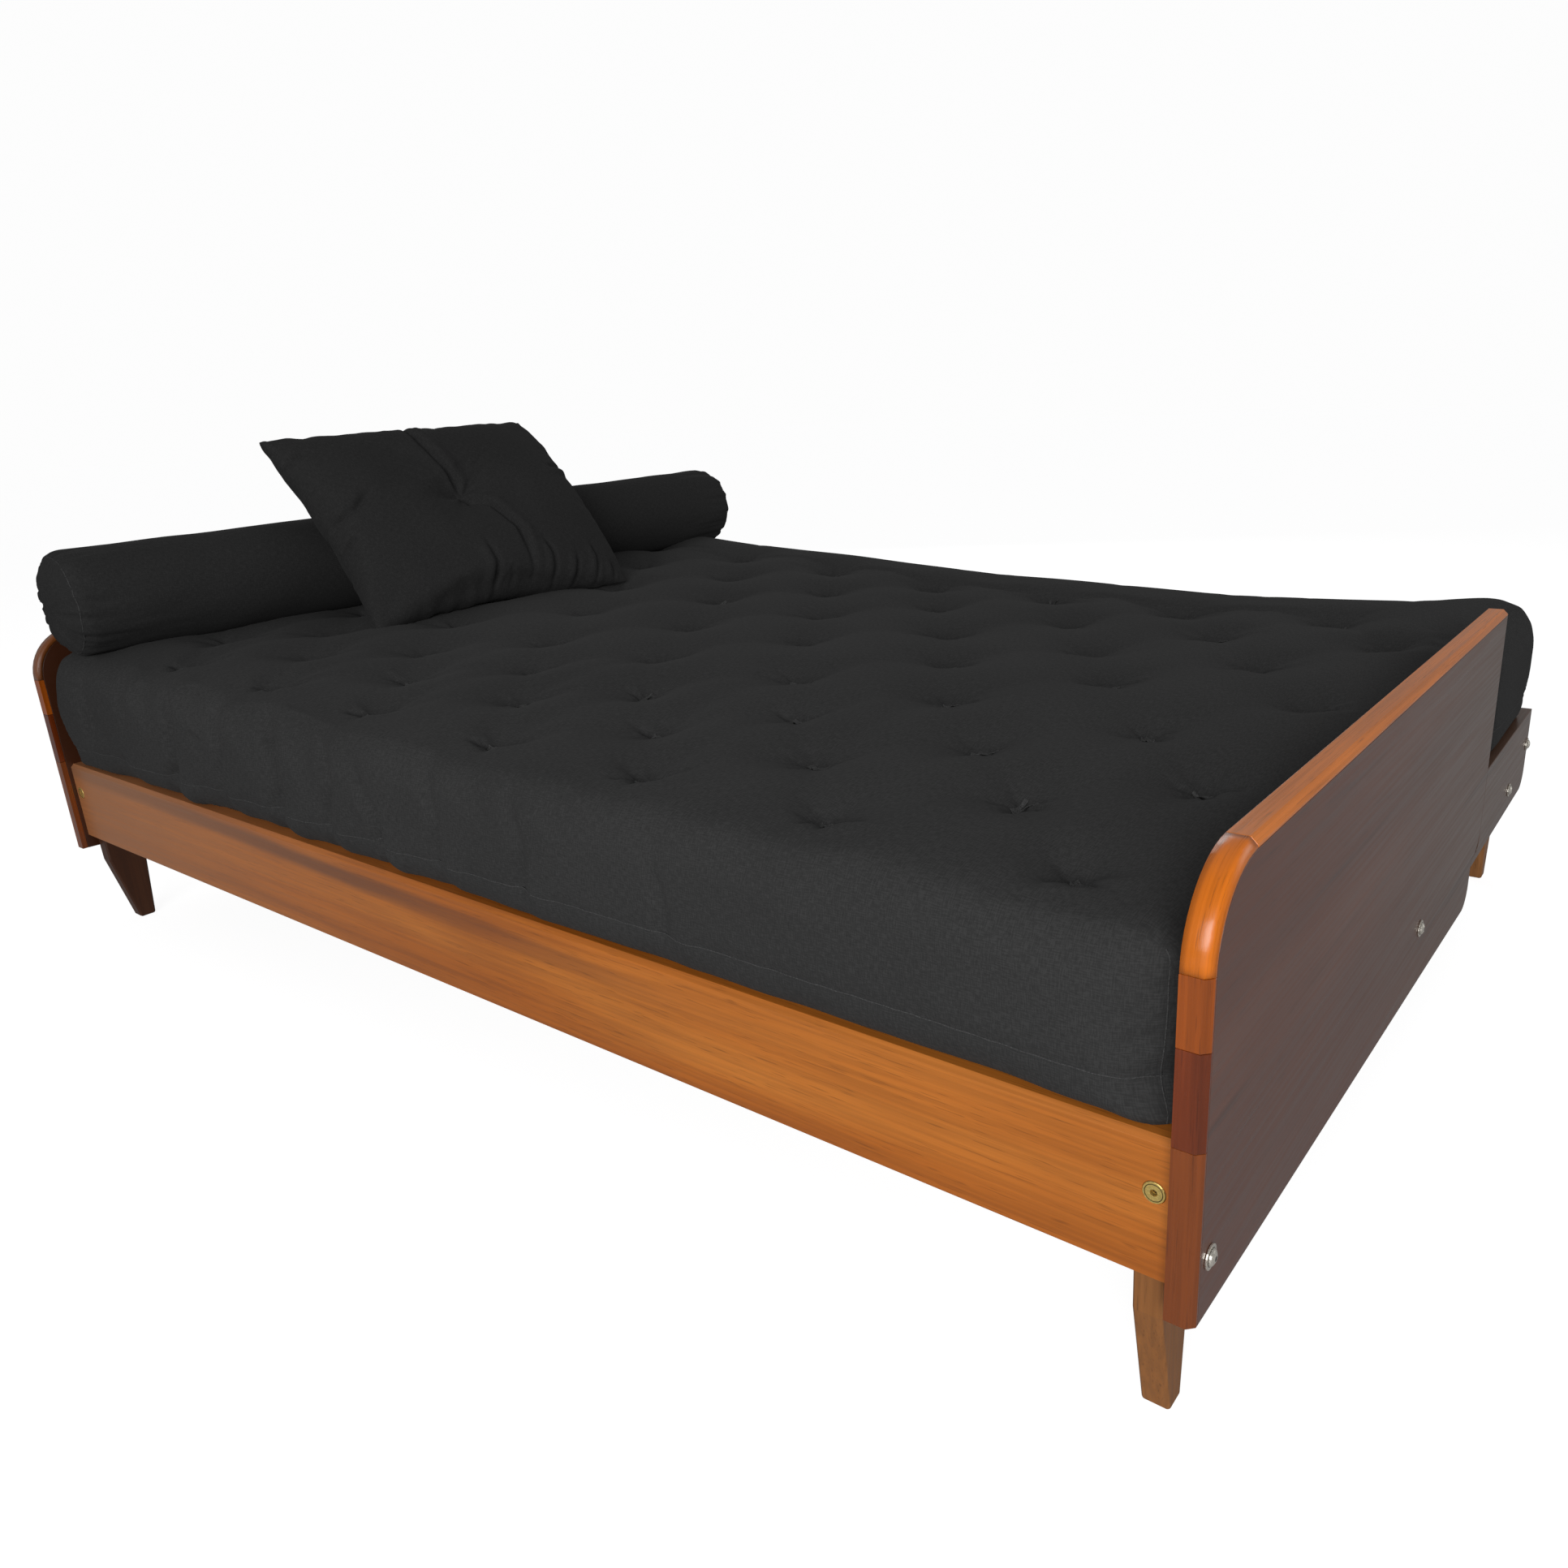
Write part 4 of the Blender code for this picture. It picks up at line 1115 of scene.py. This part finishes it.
def rest_cushion(piece, bolster):
    """Presses the cushion's back flat where it leans on the bolster."""
    middle, across, up, out, _ = cushion_frame()
    points = points_of(piece)
    axis_middle, along, half, _, _ = bolster_frame()
    relative = points - np.array(axis_middle)
    along = np.array(along)
    radial = relative - np.outer(relative @ along, along)
    distance = np.linalg.norm(radial, axis=1)
    radius = (BOLSTER_HIGH.z - BOLSTER_LOW.z - 0.0253) / 2 + 0.0055
    inside = distance < radius
    lack = (radius - distance)[:, None]
    points[inside] += np.outer(np.ones(inside.sum()), out) * lack[inside] * 1.15
    set_points(piece, points)


TAPE = thread_finish("tufting_tape", 1.0)
THREAD = thread_finish("seam_thread", 1.0)


def make_soft_goods():
    cotton = cotton_finish("black_cotton", 1.28)
    # painted shade: the bolster and the cushion get a darker copy of the mattress's cotton, standing in
    # for the lower light that falls on them
    painted_shade_cotton = cotton_finish("black_cotton_painted_shade", 0.95)
    bolster = make_bolster()
    cushion = make_cushion()
    rest_cushion(cushion, bolster)
    mattress, tufts = make_mattress()
    margin = 0.02
    low = [BOLSTER_LOW.x - margin, BOLSTER_LOW.y - margin]
    high = [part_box("cushion")[1].x + margin * 3, BOLSTER_HIGH.y + margin]
    press_under(mattress, (bolster, cushion), low, high)
    for piece, node, stuffing in (
        (mattress, "mattress", 0.8), (bolster, "bolster", 0.85), (cushion, "cushion", 0.7)
    ):
        piece.data.materials.append(cotton if piece is mattress else painted_shade_cotton)
        shade_smooth(piece)
        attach(piece, node)
        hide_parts(node)
    mattress_seams(mattress)
    make_ties(mattress, tufts)


# ---- stage ----
def area_light(name, place, target, size, power, colour=(1, 1, 1)):
    data = bpy.data.lights.new(name, "AREA")
    data.shape = "RECTANGLE"
    data.size, data.size_y = size
    data.energy = power
    data.color = colour
    lamp = bpy.data.objects.new(name, data)
    lamp.location = place
    lamp.visible_camera = False
    heading = Vector(target) - Vector(place)
    lamp.rotation_euler = heading.to_track_quat("-Z", "Y").to_euler()
    bpy.context.scene.collection.objects.link(lamp)


def make_stage():
    bpy.ops.mesh.primitive_plane_add(size=60, location=(0, 0, 0))
    floor = bpy.context.object
    floor.name = "studio_floor"
    paper = Finish("pale_paper")
    paper.set(Base_Color=(0.36, 0.36, 0.365, 1), Roughness=0.9, Specular_IOR_Level=0.1)
    paper.set(Emission_Color=(1, 1, 1, 1))
    # the paper looks white but throws little light up at the bed
    ray = paper.add("ShaderNodeLightPath")
    mirrored = paper.math("MULTIPLY", ray.outputs["Is Glossy Ray"], 0.10)
    strength = paper.math("MULTIPLY_ADD", ray.outputs["Is Camera Ray"], 0.895, mirrored)
    paper.join(strength, paper.shader.inputs["Emission Strength"])
    floor.data.materials.append(paper.material)
    floor.select_set(False)
    world = bpy.data.worlds.new("studio")
    world.use_nodes = True
    background = world.node_tree.nodes["Background"]
    background.inputs["Color"].default_value = (1, 1, 1, 1)
    seen = world.node_tree.nodes.new("ShaderNodeLightPath").outputs["Is Camera Ray"]
    strength = world.node_tree.nodes.new("ShaderNodeMapRange")
    strength.inputs["To Min"].default_value = 0.22
    strength.inputs["To Max"].default_value = 0.98
    world.node_tree.links.new(seen, strength.inputs["Value"])
    world.node_tree.links.new(strength.outputs["Result"], background.inputs["Strength"])
    bpy.context.scene.world = world
    area_light("overhead", (0.3, 0.4, 3.2), (0, 0, 0.4), (3.0, 2.4), 2)
    area_light("front_softbox", (1.9, -3.7, 1.5), (0.1, 0, 0.3), (2.8, 1.6), 92)
    area_light("rear_softbox", (-2.0, 3.6, 1.9), (0, 0.3, 0.3), (2.6, 1.6), 26)
    area_light("side_window", (3.4, 2.2, 1.2), (0.95, 0.1, 0.3), (1.4, 1.8), 12)
    bpy.context.scene.view_settings.view_transform = "Standard"


def make_camera():
    data = bpy.data.cameras.new("camera")
    data.sensor_width = 36
    data.lens = 27.06
    data.shift_x = -0.05
    data.clip_start = 0.01
    camera = bpy.data.objects.new("camera", data)
    turn = (
        Matrix.Rotation(0.6497, 4, "Z")
        @ Matrix.Rotation(1.2532, 4, "X")
        @ Matrix.Rotation(-0.0445, 4, "Z")
    )
    camera.matrix_world = Matrix.Translation((1.2396, -1.4193, 0.8158)) @ turn
    bpy.context.scene.collection.objects.link(camera)
    bpy.context.scene.camera = camera


make_camera()
make_stage()
dress_frame()
make_soft_goods()
